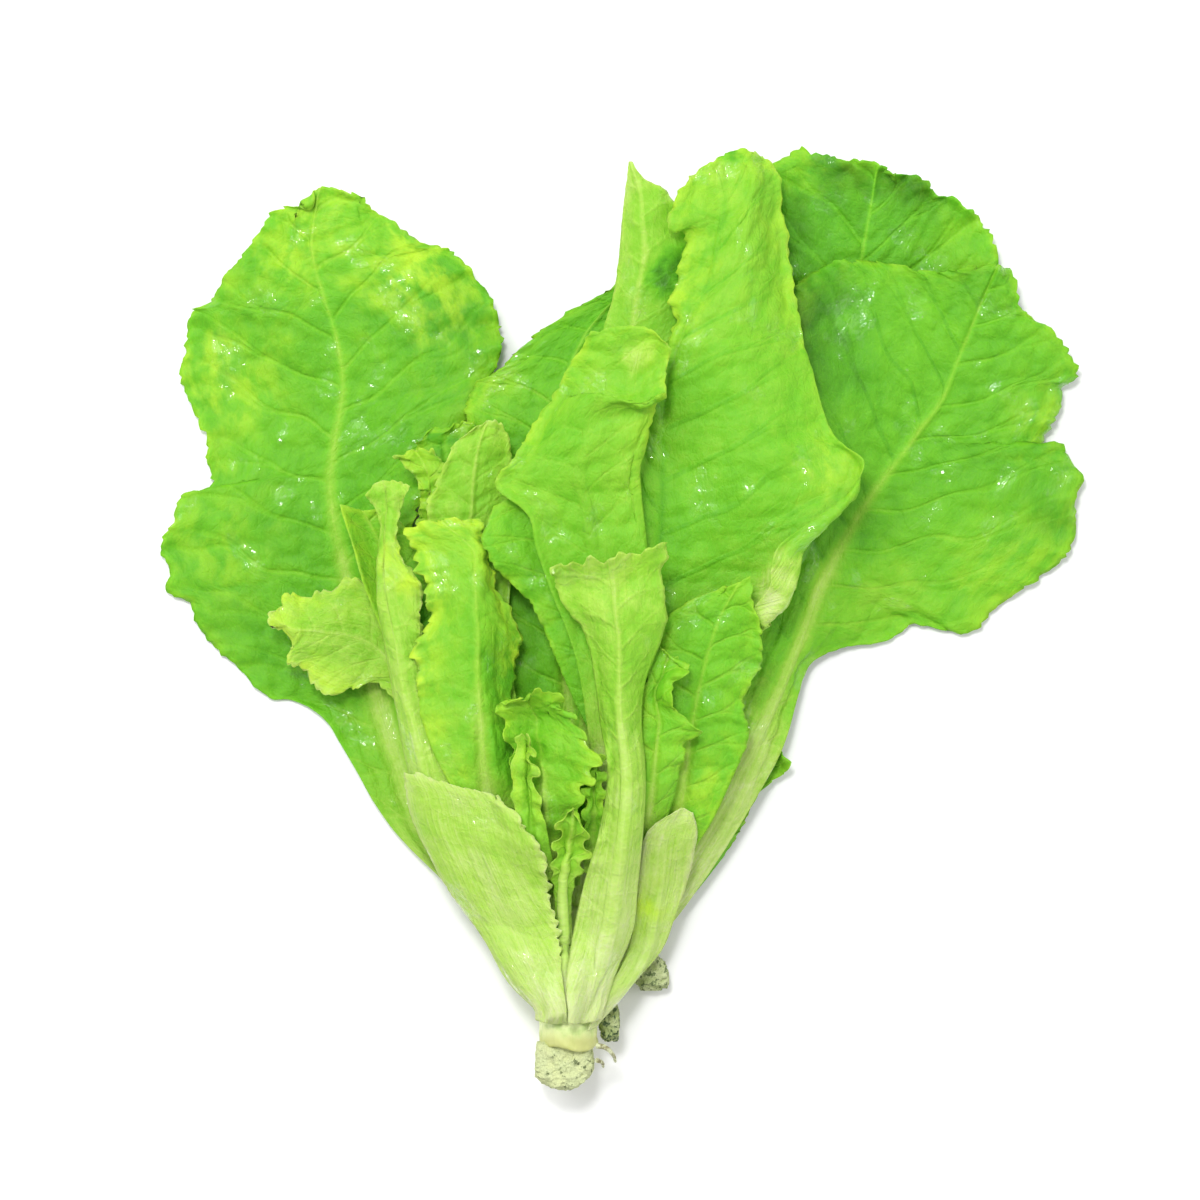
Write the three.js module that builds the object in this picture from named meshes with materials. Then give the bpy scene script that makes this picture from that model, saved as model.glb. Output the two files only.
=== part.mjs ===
// A head of leaf lettuce, as picked and laid on its back on a table: loose leaves of three sorts (broad outer
// leaves, upright inner leaves and a small frilly heart) that all leave one short crown, which still carries the
// remains of its seedling plug and a few roots.
//
// Millimetres, +Z up. The table is z = 0. The head lies along Y, with the root end towards -Y and the leaf tips
// towards +Y, and the origin is under the middle of the head.
//
// Each leaf is a net of three points a row, from its foot to its tip: left margin, midrib, right margin. A smooth
// sheet runs through the net, it gets a thickness, and it is then laid on the leaves under it, in the order of the
// list, so that no leaf cuts another.
import * as THREE from "three";

// Driving dimensions
const BLADE_THICKNESS = 0.9;
const LEAF_GAP = 0.6; // least clear height between a leaf and what it lies on
const SAG = 4.2; // how far the lowest leaves settle before the table stops them
const LEAST_LIFT = 0.35; // less than this stays lying where it is
const RELIEF_HALF_WIDTH = 150; // half the side of the square of table that is mapped
const RELIEF_CELL = 1; // side of one cell of that map
const CROWN_AXIS = { x: -16.5, z: 17.5 };
const CROWN_DEPTH = 1.25; // the crown is this much taller than wide
const CROWN_TOP_Y = -108.5; // leaf feet end just above this
const CROWN_LENGTH = 15;

const COLOURS = {
  outer: "#58b52c",
  inner: "#7ccf35",
  yellow: "#a8dd3c",
  pale: "#b9e07a",
  olive: "#6d9f35",
  crown: "#dfe9b8",
  plug: "#a9a878",
};

// Across a leaf: where the sheet is sampled, from 0 at the left margin to 1 at the right one.
const WIDE_COLUMNS = [0, 0.2, 0.4, 0.5, 0.6, 0.8, 1];
const NARROW_COLUMNS = [0, 0.27, 0.5, 0.73, 1];

// The leaves, from the table up. rib is the midrib's extra thickness and half width at the foot, back is true
// where the leaf's back is up, so that its midrib stands out on top, and fold is the row past which the sheet
// has turned over.
const LEAVES = [
  {
    name: "outer_left_leaf", colour: "outer", rib: [2.4, 5], columns: WIDE_COLUMNS, lying: true,
    rows: [
      [[-28, -105, 9], [-22, -107.5, 8], [-15, -107, 9]],
      [[-54, -76, 9], [-45, -83, 7], [-34, -84, 9]],
      [[-71, -58, 8], [-61, -61, 5], [-50, -60, 9]],
      [[-85, -37, 6], [-69, -40, 4], [-56, -38, 10]],
      [[-99, -24, 3], [-74, -20, 3], [-60, -18, 10]],
      [[-117, -13, 2], [-79, -2, 3], [-62, 2, 10]],
      [[-131, 4, 3], [-83, 15, 3], [-62, 20, 10]],
      [[-137, 22, 6], [-87, 31, 4], [-60, 34, 11]],
      [[-132, 37.5, 7], [-88, 42, 4], [-57, 44, 11]],
      [[-124, 39.5, 5], [-88, 49, 5], [-54, 52, 11]],
      [[-126, 52, 3], [-86, 60, 6], [-48, 60, 11]],
      [[-132, 70, 3], [-85, 75, 7], [-41, 74, 9]],
      [[-130, 91, 5], [-88, 90, 8], [-38, 86, 7]],
      [[-119, 104, 8], [-92, 104, 9], [-45, 104, 6]],
      [[-106, 119, 11], [-93, 117, 10], [-64, 116, 8]],
      [[-99, 123.5, 12], [-91, 126.5, 11], [-78, 125.5, 10]],
    ],
  },
  {
    name: "back_right_leaf", colour: "outer", rib: [2, 4], columns: WIDE_COLUMNS, lying: true,
    rows: [
      [[-19, -106, 5], [-12, -107.5, 4], [-6, -106, 5]],
      [[8, -72, 4], [15, -74, 3], [22, -72, 4]],
      [[22, -42, 4], [31, -44, 3], [40, -40, 4]],
      [[30, -5, 5], [44, -4, 3], [60, 0, 4]],
      [[36, 40, 6], [56, 36, 3], [82, 34, 3]],
      [[38, 75, 6], [64, 72, 4], [104, 66, 3]],
      [[40, 100, 8], [69, 96, 5], [113, 92, 5]],
      [[40, 118, 9], [71, 114, 7], [111, 112, 8]],
      [[43, 134, 11], [73, 126, 10], [100, 126, 11]],
      [[52, 140, 12], [70, 136.5, 12], [88, 133, 13]],
    ],
  },
  {
    name: "back_side_leaf", colour: "inner", rib: [1.5, 3], columns: NARROW_COLUMNS,
    rows: [
      [[0, -98, 3], [5, -99, 3], [9, -96, 3]],
      [[14, -80, 3], [20, -81, 2.5], [25, -77, 3]],
      [[24, -64, 3], [30, -65, 2.5], [36, -61, 3]],
      [[31, -52, 3], [36, -53, 3], [41, -51, 4]],
      [[38, -42, 4], [42, -43, 4], [47, -45.5, 6]],
      [[41, -38, 5], [44.5, -38.5, 5], [49, -42.5, 8]],
    ],
  },
  {
    name: "base_bract", colour: "inner", rib: [0.6, 2], columns: NARROW_COLUMNS,
    rows: [
      [[-26, -118, 7], [-23, -119, 6], [-20, -118, 6]],
      [[-29, -112, 8], [-26, -112, 7], [-22, -111, 7]],
      [[-33.5, -107.5, 10], [-29, -107, 8], [-24, -107, 7]],
    ],
  },
  {
    name: "outer_right_leaf", colour: "outer", rib: [2.6, 5], columns: WIDE_COLUMNS, lying: true,
    rows: [
      [[-16, -106, 9], [-9, -107.5, 10], [-3, -105, 9]],
      [[4, -82, 9], [11, -84, 10], [18, -82, 8]],
      [[18, -60, 9], [26, -62, 10], [34, -60, 8]],
      [[28, -42, 9], [36, -42, 10], [43, -42, 8]],
      [[34, -22, 10], [43, -23, 10], [52, -22, 8]],
      [[40, -6, 12], [50, -8, 9], [60, -10, 6]],
      [[44, 12, 14], [57, 8, 9], [79, -6.5, 4]],
      [[46, 32, 16], [64, 22, 9], [94, -3, 3]],
      [[47, 52, 17], [73, 36, 9], [112, 3, 3]],
      [[47, 70, 17], [82, 48, 9], [131, 18, 4]],
      [[48, 84, 16], [90, 59, 10], [137, 40, 6]],
      [[52, 94, 15], [94, 66, 10], [131, 52, 7]],
      [[58, 102, 13], [97, 71, 10], [124, 50.5, 5]],
      [[66, 107, 12], [100, 77, 10], [129, 63, 4]],
      [[78, 106.5, 11], [104, 85, 10], [134, 73, 7]],
      [[92, 105, 11], [108, 92, 10], [130, 84, 9]],
      [[106, 104.5, 12], [112, 98, 11], [119, 93, 9]],
      [[115, 105, 12], [116, 102, 12], [117.5, 97, 11]],
    ],
  },
  {
    name: "centre_back_leaf", colour: "outer", rib: [1.6, 3], columns: WIDE_COLUMNS,
    rows: [
      [[-22, -106, 11], [-17, -107.5, 10], [-12, -106, 11]],
      [[-22, -55, 14], [-14, -56, 13], [-6, -55, 14]],
      [[-30, -10, 16], [-15, -12, 15], [2, -10, 16]],
      [[-40, 30, 17], [-16, 28, 16], [8, 28, 16]],
      [[-47, 55, 15], [-18, 52, 17], [12, 54, 16]],
      [[-46.5, 68, 13], [-17, 71, 18], [14, 74, 17]],
      [[-36, 74, 14], [-12, 84, 19], [18, 88, 17]],
      [[-26, 84, 15], [-6, 92, 19], [19, 98, 17]],
      [[-16, 91, 16], [0, 98, 19], [18, 106, 17]],
      [[-5, 97, 17], [6, 104, 18], [17, 112, 17]],
    ],
  },
  {
    name: "left_frill_leaf", colour: "yellow", rib: [1.2, 2], columns: NARROW_COLUMNS,
    rows: [
      [[-28, -96, 12], [-25, -97, 12], [-22, -96, 12]],
      [[-54, -60, 12], [-50, -61, 12], [-46, -59, 12]],
      [[-66, -32, 11], [-62, -31, 11], [-57, -28, 12]],
      [[-74, -18.5, 11], [-69, -10, 11], [-66, 4, 13]],
      [[-83, -21, 11], [-80, -5, 12], [-78, 11.5, 13]],
      [[-92, -18, 12], [-90, -4, 14], [-89, 11, 13]],
      [[-98, -11, 14], [-97, -3, 16], [-98, 7.5, 15]],
      [[-101, -5, 16], [-103, 0, 17], [-102, 4, 17]],
    ],
  },
  {
    name: "olive_back_leaf", colour: "olive", rib: [1, 2], columns: NARROW_COLUMNS,
    rows: [
      [[-42, -56, 13], [-39, -57, 13], [-35, -56, 13]],
      [[-47, -25, 14], [-43, -26, 14], [-39, -25, 14]],
      [[-54, 20, 15], [-49, 20, 14], [-43, 20, 15]],
      [[-60, 42, 16], [-52, 43, 15], [-43, 44, 15]],
      [[-61, 52, 17], [-53, 54, 17], [-43, 56, 16]],
      [[-58, 55, 18], [-51, 57.5, 18], [-44.5, 59.5, 17]],
    ],
  },
  {
    name: "spike_leaf", colour: "inner", rib: [1.5, 2], columns: NARROW_COLUMNS, back: true,
    rows: [
      [[-15, -70, 14], [-11, -71, 14], [-7, -70, 14]],
      [[-14, -40, 17], [-8, -40, 17], [-2, -40, 17]],
      [[-10, 20, 22], [-3, 20, 21], [4, 20, 22]],
      [[-6, 60, 23], [-1, 60, 24], [5, 60, 25]],
      [[-4, 84, 23], [0, 84, 25], [4, 84, 26]],
      [[-2.8, 99, 22], [1, 99, 26], [5, 99.5, 28]],
      [[-0.8, 113, 22], [6, 112, 27], [12, 113, 30]],
      [[0.3, 124, 24], [7, 122, 28], [12.5, 123, 31]],
      [[1, 131, 26], [3.5, 131, 29], [6, 130.5, 30]],
      [[1.2, 135, 28], [1.8, 135.2, 28.5], [2.4, 134.8, 29]],
    ],
  },
  {
    name: "left_side_leaf", colour: "outer", rib: [1.2, 2], columns: NARROW_COLUMNS,
    rows: [
      [[-49, -76, 13], [-45, -77, 13], [-41, -76, 13]],
      [[-57, -58, 16], [-52, -59, 16], [-47, -58, 16]],
      [[-66, -30, 20], [-61, -30, 19], [-56, -30, 19]],
      [[-70, -9, 22], [-66, -8, 20], [-61, -8, 19]],
      [[-76.5, 10, 24], [-70, 10, 20], [-64, 10, 19]],
      [[-80, 22, 25], [-73, 22, 20], [-67, 22, 19]],
      [[-83.5, 34, 26], [-77, 32.5, 22], [-71, 33, 20]],
    ],
  },
  {
    name: "curled_tip_leaf", colour: "inner", rib: [1, 1.5], columns: NARROW_COLUMNS,
    rows: [
      [[-44, -50, 16], [-41, -51, 16], [-38, -50, 16]],
      [[-49, -25, 18], [-45, -26, 18], [-42, -25, 18]],
      [[-59, 15, 19], [-55, 15, 19], [-52, 15, 20]],
      [[-61, 32, 20], [-58, 32, 20], [-55.5, 32, 21]],
      [[-62, 41, 21], [-58, 41, 21], [-54, 42, 22]],
      [[-65, 45.5, 22], [-59.5, 46.5, 22], [-53, 46, 22]],
      [[-68.5, 48.5, 24], [-62, 50.5, 23], [-57, 49.8, 22]],
    ],
  },
  {
    name: "tall_centre_leaf", colour: "inner", rib: [1.6, 3], columns: WIDE_COLUMNS,
    rows: [
      [[-18, -84, 14], [-12, -85, 14], [-6, -84, 14]],
      [[-15, -60, 20], [-7, -61, 19], [1, -60, 20]],
      [[-6, -25, 25], [3, -26, 23], [13, -24, 24]],
      [[0, 0, 27], [9, 0, 25], [38, 3, 26]],
      [[2, 22, 28], [11, 20, 26], [52, 20, 30]],
      [[3, 45, 28], [12, 40, 27], [69, 46, 33]],
      [[6, 60, 28], [12, 58, 28], [60, 60, 26]],
      [[10, 78, 28], [16, 78, 30], [53.5, 77, 22]],
      [[14.5, 94, 28], [23, 94, 31], [50, 94, 21]],
      [[18, 109, 28], [28, 108, 31], [47.5, 109, 21]],
      [[18.5, 114.5, 29], [29, 114, 31], [47, 116, 21]],
      [[12.5, 115, 32], [30, 120, 31], [46.5, 122, 21]],
      [[15, 124, 31], [31, 128, 30], [45.5, 130, 21]],
      [[22, 134, 28], [32, 138, 28], [43, 137, 22]],
    ],
  },
  {
    name: "inner_left_leaf", colour: "inner", rib: [1.6, 2], columns: NARROW_COLUMNS,
    rows: [
      [[-33, -72, 17], [-28, -73, 17], [-23, -72, 17]],
      [[-39, -45, 21], [-33, -46, 21], [-27, -45, 21]],
      [[-48, -10, 25], [-41, -12, 25], [-34, -10, 24]],
      [[-56, 18, 27], [-45, 18, 27], [-33, 20, 25]],
      [[-57.5, 33, 28], [-45, 32, 29], [-33, 34, 26]],
      [[-54.5, 43, 29], [-44, 45, 30], [-33.5, 45, 27]],
      [[-50, 52, 30], [-42, 54, 31], [-34.5, 53, 28]],
      [[-44, 56.5, 31], [-40, 58.5, 31], [-36.5, 58, 29]],
    ],
  },
  {
    name: "left_wrapper_leaf", colour: "pale", rib: [3, 4], columns: NARROW_COLUMNS, back: true,
    rows: [
      [[-33, -104, 14], [-27, -106, 16], [-19, -105, 17]],
      [[-45, -90, 15], [-37, -91, 19], [-27, -90, 19]],
      [[-54, -73, 18], [-47, -73, 23], [-37, -72, 22]],
      [[-60, -56, 21], [-54, -56, 26], [-44, -55, 25]],
      [[-64, -40, 24], [-59.5, -40, 29], [-51, -41, 27]],
      [[-67, -22, 25], [-63.5, -22, 30], [-56, -22, 28]],
      [[-70, -8, 26], [-67, -8, 31], [-59, -10, 29]],
      [[-72, 4, 27], [-69.5, 4, 31], [-61, 0, 30]],
      [[-72.5, 14, 28], [-70, 14, 31], [-60, 11, 31]],
      [[-72, 22, 29], [-70, 22, 31], [-65, 18.5, 32]],
      [[-71.5, 28, 30], [-70, 28, 31], [-68, 27, 31]],
      [[-72, 34, 31], [-69.5, 34, 31], [-67, 33, 31]],
      [[-74.5, 37.5, 33], [-69.5, 41, 33], [-63, 39.5, 32]],
    ],
  },
  {
    name: "inner_front_leaf", colour: "inner", rib: [1.6, 2], columns: NARROW_COLUMNS,
    rows: [
      [[-36, -74, 21], [-31, -75, 21], [-26, -74, 21]],
      [[-43, -61, 25], [-37, -62, 25], [-31, -61, 24]],
      [[-51, -47, 31], [-40, -46, 31], [-33, -47, 28]],
      [[-57, -30, 33], [-41.5, -28, 35], [-34, -30, 28]],
      [[-60, -14, 34], [-42.5, -11, 37], [-33, -18, 27]],
      [[-56, -3, 33], [-43, 3, 38], [-31, -4, 28]],
      [[-58, 8, 33], [-43.5, 12, 38], [-37, 9, 31]],
      [[-61, 18, 34], [-44, 21, 37], [-40, 21, 33]],
      [[-64, 27, 35], [-53, 29.5, 36], [-42, 30, 35]],
    ],
  },
  {
    name: "centre_lower_leaf", colour: "inner", rib: [1.8, 2], columns: NARROW_COLUMNS,
    rows: [
      [[-15, -70, 20], [-9, -71, 20], [-3, -70, 20]],
      [[-12, -54, 25], [-5, -55, 25], [2, -54, 25]],
      [[-9, -38, 29], [-2, -38, 29], [5, -36, 30]],
      [[-15, -23, 30], [-4, -20, 31], [8, -20, 31]],
      [[-20, -9, 31], [-6, -4, 32], [9, -4, 31]],
      [[-28, 8, 32], [-10, 10, 33], [6, 12, 31]],
      [[-37, 15.5, 33], [-14, 24, 33], [4, 26, 31]],
      [[-41, 24, 34], [-18, 36, 34], [2, 38, 31]],
      [[-38, 36, 33], [-22, 46, 34], [-6, 50, 32]],
    ],
  },
  {
    name: "centre_front_leaf", colour: "inner", rib: [1.8, 2], columns: NARROW_COLUMNS, fold: 9,
    rows: [
      [[-12, -62, 26], [-6, -63, 26], [0, -62, 26]],
      [[-10, -42, 32], [-3, -42, 32], [4, -42, 32]],
      [[-11, -15, 37], [-3, -15, 37], [5, -15, 37]],
      [[-14, 16, 38], [-4, 18, 39], [8, 20, 38]],
      [[-21, 31, 40], [-8, 32, 41], [5, 35, 38]],
      [[-36, 41, 42], [-14, 45, 43], [4.5, 45, 39]],
      [[-31, 51, 40], [-11, 56, 44], [8, 56, 40]],
      [[-24, 63, 37], [-8, 66, 46], [11, 66, 42]],
      [[-15, 74, 38], [-2, 75, 48], [12, 74, 44]],
      [[-10, 83, 42], [0, 85, 51], [10.5, 82, 48]],
      [[-8, 77, 49], [1, 76, 58], [11, 74, 54]],
      [[-6, 69, 50], [2, 64, 58], [9.5, 65.5, 54]],
    ],
  },
  {
    name: "right_inner_leaf", colour: "inner", rib: [1.8, 2], columns: NARROW_COLUMNS,
    rows: [
      [[-1, -84, 17], [4, -85, 17], [9, -84, 17]],
      [[3, -70, 22], [10, -71, 21], [18, -70, 21]],
      [[7, -54, 29], [16, -54, 28], [27, -57, 28]],
      [[8, -38, 31], [19, -38, 30], [34, -40, 29]],
      [[9, -22, 32], [22, -22, 32], [33, -27, 30]],
      [[10, -8, 33], [25, -8, 34], [39.5, -14, 31]],
      [[14, 2, 34], [28, 1, 36], [40, -4, 34]],
      [[22, 7.5, 35], [31, 7, 37], [37, 5, 36]],
      [[30, 10, 36], [33.5, 11, 37], [36, 11.5, 38]],
    ],
  },
  {
    name: "right_ruffle_leaf", colour: "inner", rib: [1, 2], columns: NARROW_COLUMNS,
    rows: [
      [[1, -76, 24], [4, -77, 24], [8, -76, 24]],
      [[2, -65, 28], [7, -65, 28], [12, -64, 28]],
      [[3, -52, 34], [9, -52, 34], [17, -50, 33]],
      [[3, -38, 36], [10, -37, 36], [19, -37, 36]],
      [[4, -26, 37], [9, -25, 37], [15, -27, 39]],
      [[6, -15, 38], [12, -14, 38], [20, -15, 40]],
      [[8, -7, 38], [11, -6.5, 38], [16, -9, 40]],
    ],
  },
  {
    name: "right_pale_leaf", colour: "pale", rib: [1.6, 2.5], columns: NARROW_COLUMNS, back: true,
    rows: [
      [[0, -99, 15], [5, -100, 15], [10, -98, 14]],
      [[6, -87, 18], [10, -88, 18], [15, -87, 16]],
      [[8, -76, 21], [13, -76, 21], [18.5, -75, 18]],
      [[6, -66, 24], [13, -65, 23], [21, -64, 20]],
      [[10, -58.5, 26], [15, -58, 25], [20.8, -58, 23]],
      [[14, -56, 28], [17, -54.5, 27], [19.8, -55.5, 26]],
    ],
  },
  {
    name: "heart_leaf_inner", colour: "inner", rib: [0.8, 1.5], columns: NARROW_COLUMNS,
    rows: [
      [[-19, -78, 22], [-16, -79, 22], [-13, -78, 22]],
      [[-20, -62, 27], [-16, -62, 26], [-12, -62, 27]],
      [[-22, -50, 30], [-16, -50, 28], [-10, -50, 30]],
      [[-22, -40, 32], [-16, -40, 30], [-9, -40, 32]],
      [[-20, -34, 34], [-16, -34, 33], [-11, -35, 34]],
    ],
  },
  {
    name: "heart_leaf_right", colour: "inner", rib: [0.6, 1], columns: NARROW_COLUMNS,
    rows: [
      [[-12, -74, 26], [-10, -75, 26], [-7, -74, 26]],
      [[-12, -60, 32], [-9, -60, 31], [-6, -60, 32]],
      [[-13, -50, 34], [-9, -50, 33], [-5, -50, 34]],
      [[-12, -44, 36], [-8.5, -43, 35], [-5, -43, 36]],
      [[-10, -39, 37], [-8, -38, 37], [-5.5, -39, 37]],
    ],
  },
  {
    name: "heart_leaf_left", colour: "inner", rib: [1, 1.5], columns: NARROW_COLUMNS,
    rows: [
      [[-28, -73, 25], [-24, -74, 25], [-20, -73, 25]],
      [[-31, -60, 31], [-26, -60, 30], [-21, -60, 30]],
      [[-34, -45, 34], [-28, -45, 32], [-21, -46, 32]],
      [[-35, -34, 37], [-28, -33, 35], [-17, -36, 34]],
      [[-37, -26, 39], [-28, -25, 37], [-10, -36, 37]],
      [[-39.5, -21.5, 41], [-29, -18, 40], [-14, -26, 39]],
      [[-36, -18, 42], [-27, -14.5, 42], [-18, -16, 41]],
    ],
  },
  {
    name: "heart_leaf_curl", colour: "inner", rib: [0.6, 1], columns: NARROW_COLUMNS,
    rows: [
      [[-28, -76, 28], [-25, -77, 28], [-22, -76, 28]],
      [[-30, -64, 36], [-27, -64, 35], [-23, -65, 35]],
      [[-32, -52, 39], [-28, -52, 37], [-24, -53, 38]],
      [[-33, -42, 41], [-29, -42, 39], [-25, -43, 40]],
      [[-32, -34, 43], [-29, -32, 42], [-26, -35, 42]],
    ],
  },
  {
    name: "heart_leaf_front", colour: "inner", rib: [1.4, 1.5], columns: NARROW_COLUMNS,
    rows: [
      [[-20, -104, 18], [-17.5, -105, 19], [-15, -104, 18]],
      [[-20.5, -90, 23], [-18, -90, 24], [-15.5, -90, 23]],
      [[-20.5, -76, 28], [-18, -76, 29], [-15, -76, 28]],
      [[-21, -64, 33], [-16, -64, 33], [-9.5, -64, 33]],
      [[-21, -56, 36], [-15, -55, 36], [-10, -57, 36]],
      [[-18, -52, 38], [-14.5, -50.5, 39], [-11, -53.5, 38]],
    ],
  },
  {
    name: "left_front_leaf", colour: "pale", rib: [2, 4], columns: NARROW_COLUMNS, back: true,
    rows: [
      [[-27, -106, 19], [-22, -107, 21], [-17.5, -106, 21]],
      [[-38, -92, 21], [-30, -93, 25], [-21, -92, 26]],
      [[-45, -78, 23], [-34, -78, 30], [-21.5, -79, 31]],
      [[-49, -66, 26], [-38, -66, 32], [-23, -68, 33]],
      [[-50, -57, 28], [-40, -57, 33], [-29, -59, 34]],
      [[-46, -52, 30], [-41, -51.3, 33], [-34, -52.5, 34]],
    ],
  },
  {
    name: "front_stem_leaf", colour: "pale", rib: [3.5, 4], columns: NARROW_COLUMNS, back: true,
    rows: [
      [[-17, -106.5, 22], [-9, -107.5, 24], [-2, -105.5, 21]],
      [[-15, -92, 27], [-4.5, -91, 31], [2.5, -91, 27]],
      [[-13.5, -78, 31], [-2.5, -77, 36], [4, -77, 31]],
      [[-9, -64, 36], [-0.5, -64, 41], [5.5, -64, 37]],
      [[-8, -53, 37], [0.5, -52, 43], [6, -52, 39]],
      [[-5.5, -42, 38], [0.5, -42, 45], [5.8, -42, 40]],
      [[-7, -30, 40], [-1, -30, 46], [4.8, -30, 41]],
      [[-9, -18, 41], [-1.5, -18, 48], [6, -18, 42]],
      [[-12, -3, 43], [-1.5, -5, 50], [11, -6, 43]],
      [[-17, 7, 47], [-2.5, 7, 53], [13, 5, 47]],
      [[-20, 15, 53], [-4, 17, 57], [14, 20, 53]],
    ],
  },
];

// A height map of everything laid so far, over the table at height 0.
class Relief {
  constructor(halfWidth, cell) {
    this.cell = cell;
    this.halfWidth = halfWidth;
    this.side = Math.round((2 * halfWidth) / cell);
    this.height = new Float32Array(this.side * this.side);
  }

  // Calls use(index, low, high) for each cell that the triangle reaches, with its lowest and highest there.
  visit([a, b, c], use) {
    const area = (b.x - a.x) * (c.y - a.y) - (c.x - a.x) * (b.y - a.y);
    if (Math.abs(area) < 1e-6) return;
    const slopeX = ((b.z - a.z) * (c.y - a.y) - (c.z - a.z) * (b.y - a.y)) / area;
    const slopeY = ((b.x - a.x) * (c.z - a.z) - (c.x - a.x) * (b.z - a.z)) / area;
    const lowest = Math.min(a.z, b.z, c.z);
    const highest = Math.max(a.z, b.z, c.z);
    const spread = 0.5 * this.cell * (Math.abs(slopeX) + Math.abs(slopeY));
    const index = (value) => Math.floor((value + this.halfWidth) / this.cell);
    const reach = 0.75 * this.cell;
    const edges = [[a, b], [b, c], [c, a]].map(([p, q]) => {
      const length = Math.hypot(q.x - p.x, q.y - p.y) || 1;
      const side = Math.sign(area);
      return { p, nx: (-side * (q.y - p.y)) / length, ny: (side * (q.x - p.x)) / length };
    });
    for (let j = index(Math.min(a.y, b.y, c.y) - reach); j <= index(Math.max(a.y, b.y, c.y) + reach); j++) {
      for (let i = index(Math.min(a.x, b.x, c.x) - reach); i <= index(Math.max(a.x, b.x, c.x) + reach); i++) {
        if (i < 0 || j < 0 || i >= this.side || j >= this.side) continue;
        const x = (i + 0.5) * this.cell - this.halfWidth;
        const y = (j + 0.5) * this.cell - this.halfWidth;
        if (edges.some(({ p, nx, ny }) => (x - p.x) * nx + (y - p.y) * ny < -reach)) continue;
        const z = a.z + slopeX * (x - a.x) + slopeY * (y - a.y);
        const low = Math.max(lowest, Math.min(highest, z - spread));
        const high = Math.min(highest, Math.max(lowest, z + spread));
        use(j * this.side + i, low, high);
      }
    }
  }
}

// The net's smooth sheet as a grid of points: rows from foot to tip, columns from left margin to right margin.
function sheetOf({ rows, columns }) {
  const alongColumns = rows[0].map(
    (_, k) => new THREE.CatmullRomCurve3(rows.map((row) => new THREE.Vector3(...row[k])), false, "catmullrom"),
  );
  const steps = Math.round((rows.length - 1) * 1.3) + 1;
  return Array.from({ length: steps + 1 }, (_, i) => {
    const across = new THREE.CatmullRomCurve3(
      alongColumns.map((curve) => curve.getPoint(i / steps)), false, "catmullrom",
    );
    return columns.map((v) => across.getPoint(v));
  });
}

// The sheet's normal at each point, from its neighbours.
function normalsOf(sheet) {
  const at = (i, j) => sheet[Math.min(Math.max(i, 0), sheet.length - 1)][Math.min(Math.max(j, 0), sheet[0].length - 1)];
  return sheet.map((row, i) =>
    row.map((_, j) => {
      const along = at(i + 1, j).clone().sub(at(i - 1, j));
      const across = at(i, j + 1).clone().sub(at(i, j - 1));
      return across.cross(along).normalize();
    }),
  );
}

// The leaf's two faces: grids of points above and below the sheet, thicker along the midrib.
function facesOf(leaf) {
  const sheet = sheetOf(leaf);
  const normals = normalsOf(sheet);
  const [ribThickness, ribHalfWidth] = leaf.rib;
  const middle = (leaf.columns.length - 1) / 2;
  const offset = (i, j, side) => {
    const share = i / (sheet.length - 1);
    const fromRib = sheet[i][j].distanceTo(sheet[i][middle]);
    const ribHere = ribThickness * (1 - share) * Math.exp(-((fromRib / (ribHalfWidth * (1.2 - share))) ** 2));
    const onRibSide = (side > 0) === Boolean(leaf.back);
    return side * (BLADE_THICKNESS / 2 + (onRibSide ? ribHere : 0));
  };
  const face = (side) =>
    sheet.map((row, i) => row.map((point, j) => point.clone().addScaledVector(normals[i][j], offset(i, j, side))));
  return { top: face(1), bottom: face(-1) };
}

// The triangles of a grid of points, each as its corners' places in the grid.
function gridTriangles(grid, firstRow = 0, lastRow = grid.length - 1) {
  const list = [];
  for (let i = firstRow; i < lastRow; i++) {
    for (let j = 0; j < grid[0].length - 1; j++) {
      list.push([[i, j], [i, j + 1], [i + 1, j + 1]], [[i, j], [i + 1, j + 1], [i + 1, j]]);
    }
  }
  return list;
}

// Lifts rows firstRow to lastRow of a leaf until they clear what is in the relief, easing the lift into the rest.
function layOn(relief, { top, bottom }, firstRow, lastRow) {
  const need = top.map((row) => row.map(() => 0));
  for (const triangle of gridTriangles(top, firstRow, lastRow)) {
    for (const face of [top, bottom]) {
      relief.visit(triangle.map(([i, j]) => face[i][j]), (cell, low) => {
        const under = relief.height[cell];
        const lift = under > 0 ? under + LEAF_GAP - low : 0;
        for (const [i, j] of triangle) need[i][j] = Math.max(need[i][j], lift);
      });
    }
  }
  let lift = need.map((row) => row.slice());
  const easings = 10;
  for (let pass = 0; pass < easings; pass++) {
    lift = lift.map((row, i) =>
      row.map((here, j) => {
        const near = [lift[i - 1]?.[j], lift[i + 1]?.[j], row[j - 1], row[j + 1]].map((value) => value ?? here);
        return Math.max(need[i][j], near.reduce((sum, value) => sum + value, 0) / 4);
      }),
    );
  }
  for (let i = firstRow; i <= lastRow; i++) {
    for (let j = 0; j < top[0].length; j++) {
      if (need[i][j] === 0 && lift[i][j] < LEAST_LIFT) continue;
      top[i][j].z += lift[i][j];
      bottom[i][j].z += lift[i][j];
    }
  }
}

// Lets a leaf settle, and presses what would be under the table flat onto it.
function pressOnTable({ top, bottom }) {
  [...top, ...bottom].flat().forEach((point) => (point.z -= SAG));
  bottom.flat().forEach((point) => (point.z = Math.max(point.z, 0)));
  top.forEach((row, i) => row.forEach((point, j) => (point.z = Math.max(point.z, bottom[i][j].z + BLADE_THICKNESS))));
}

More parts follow.
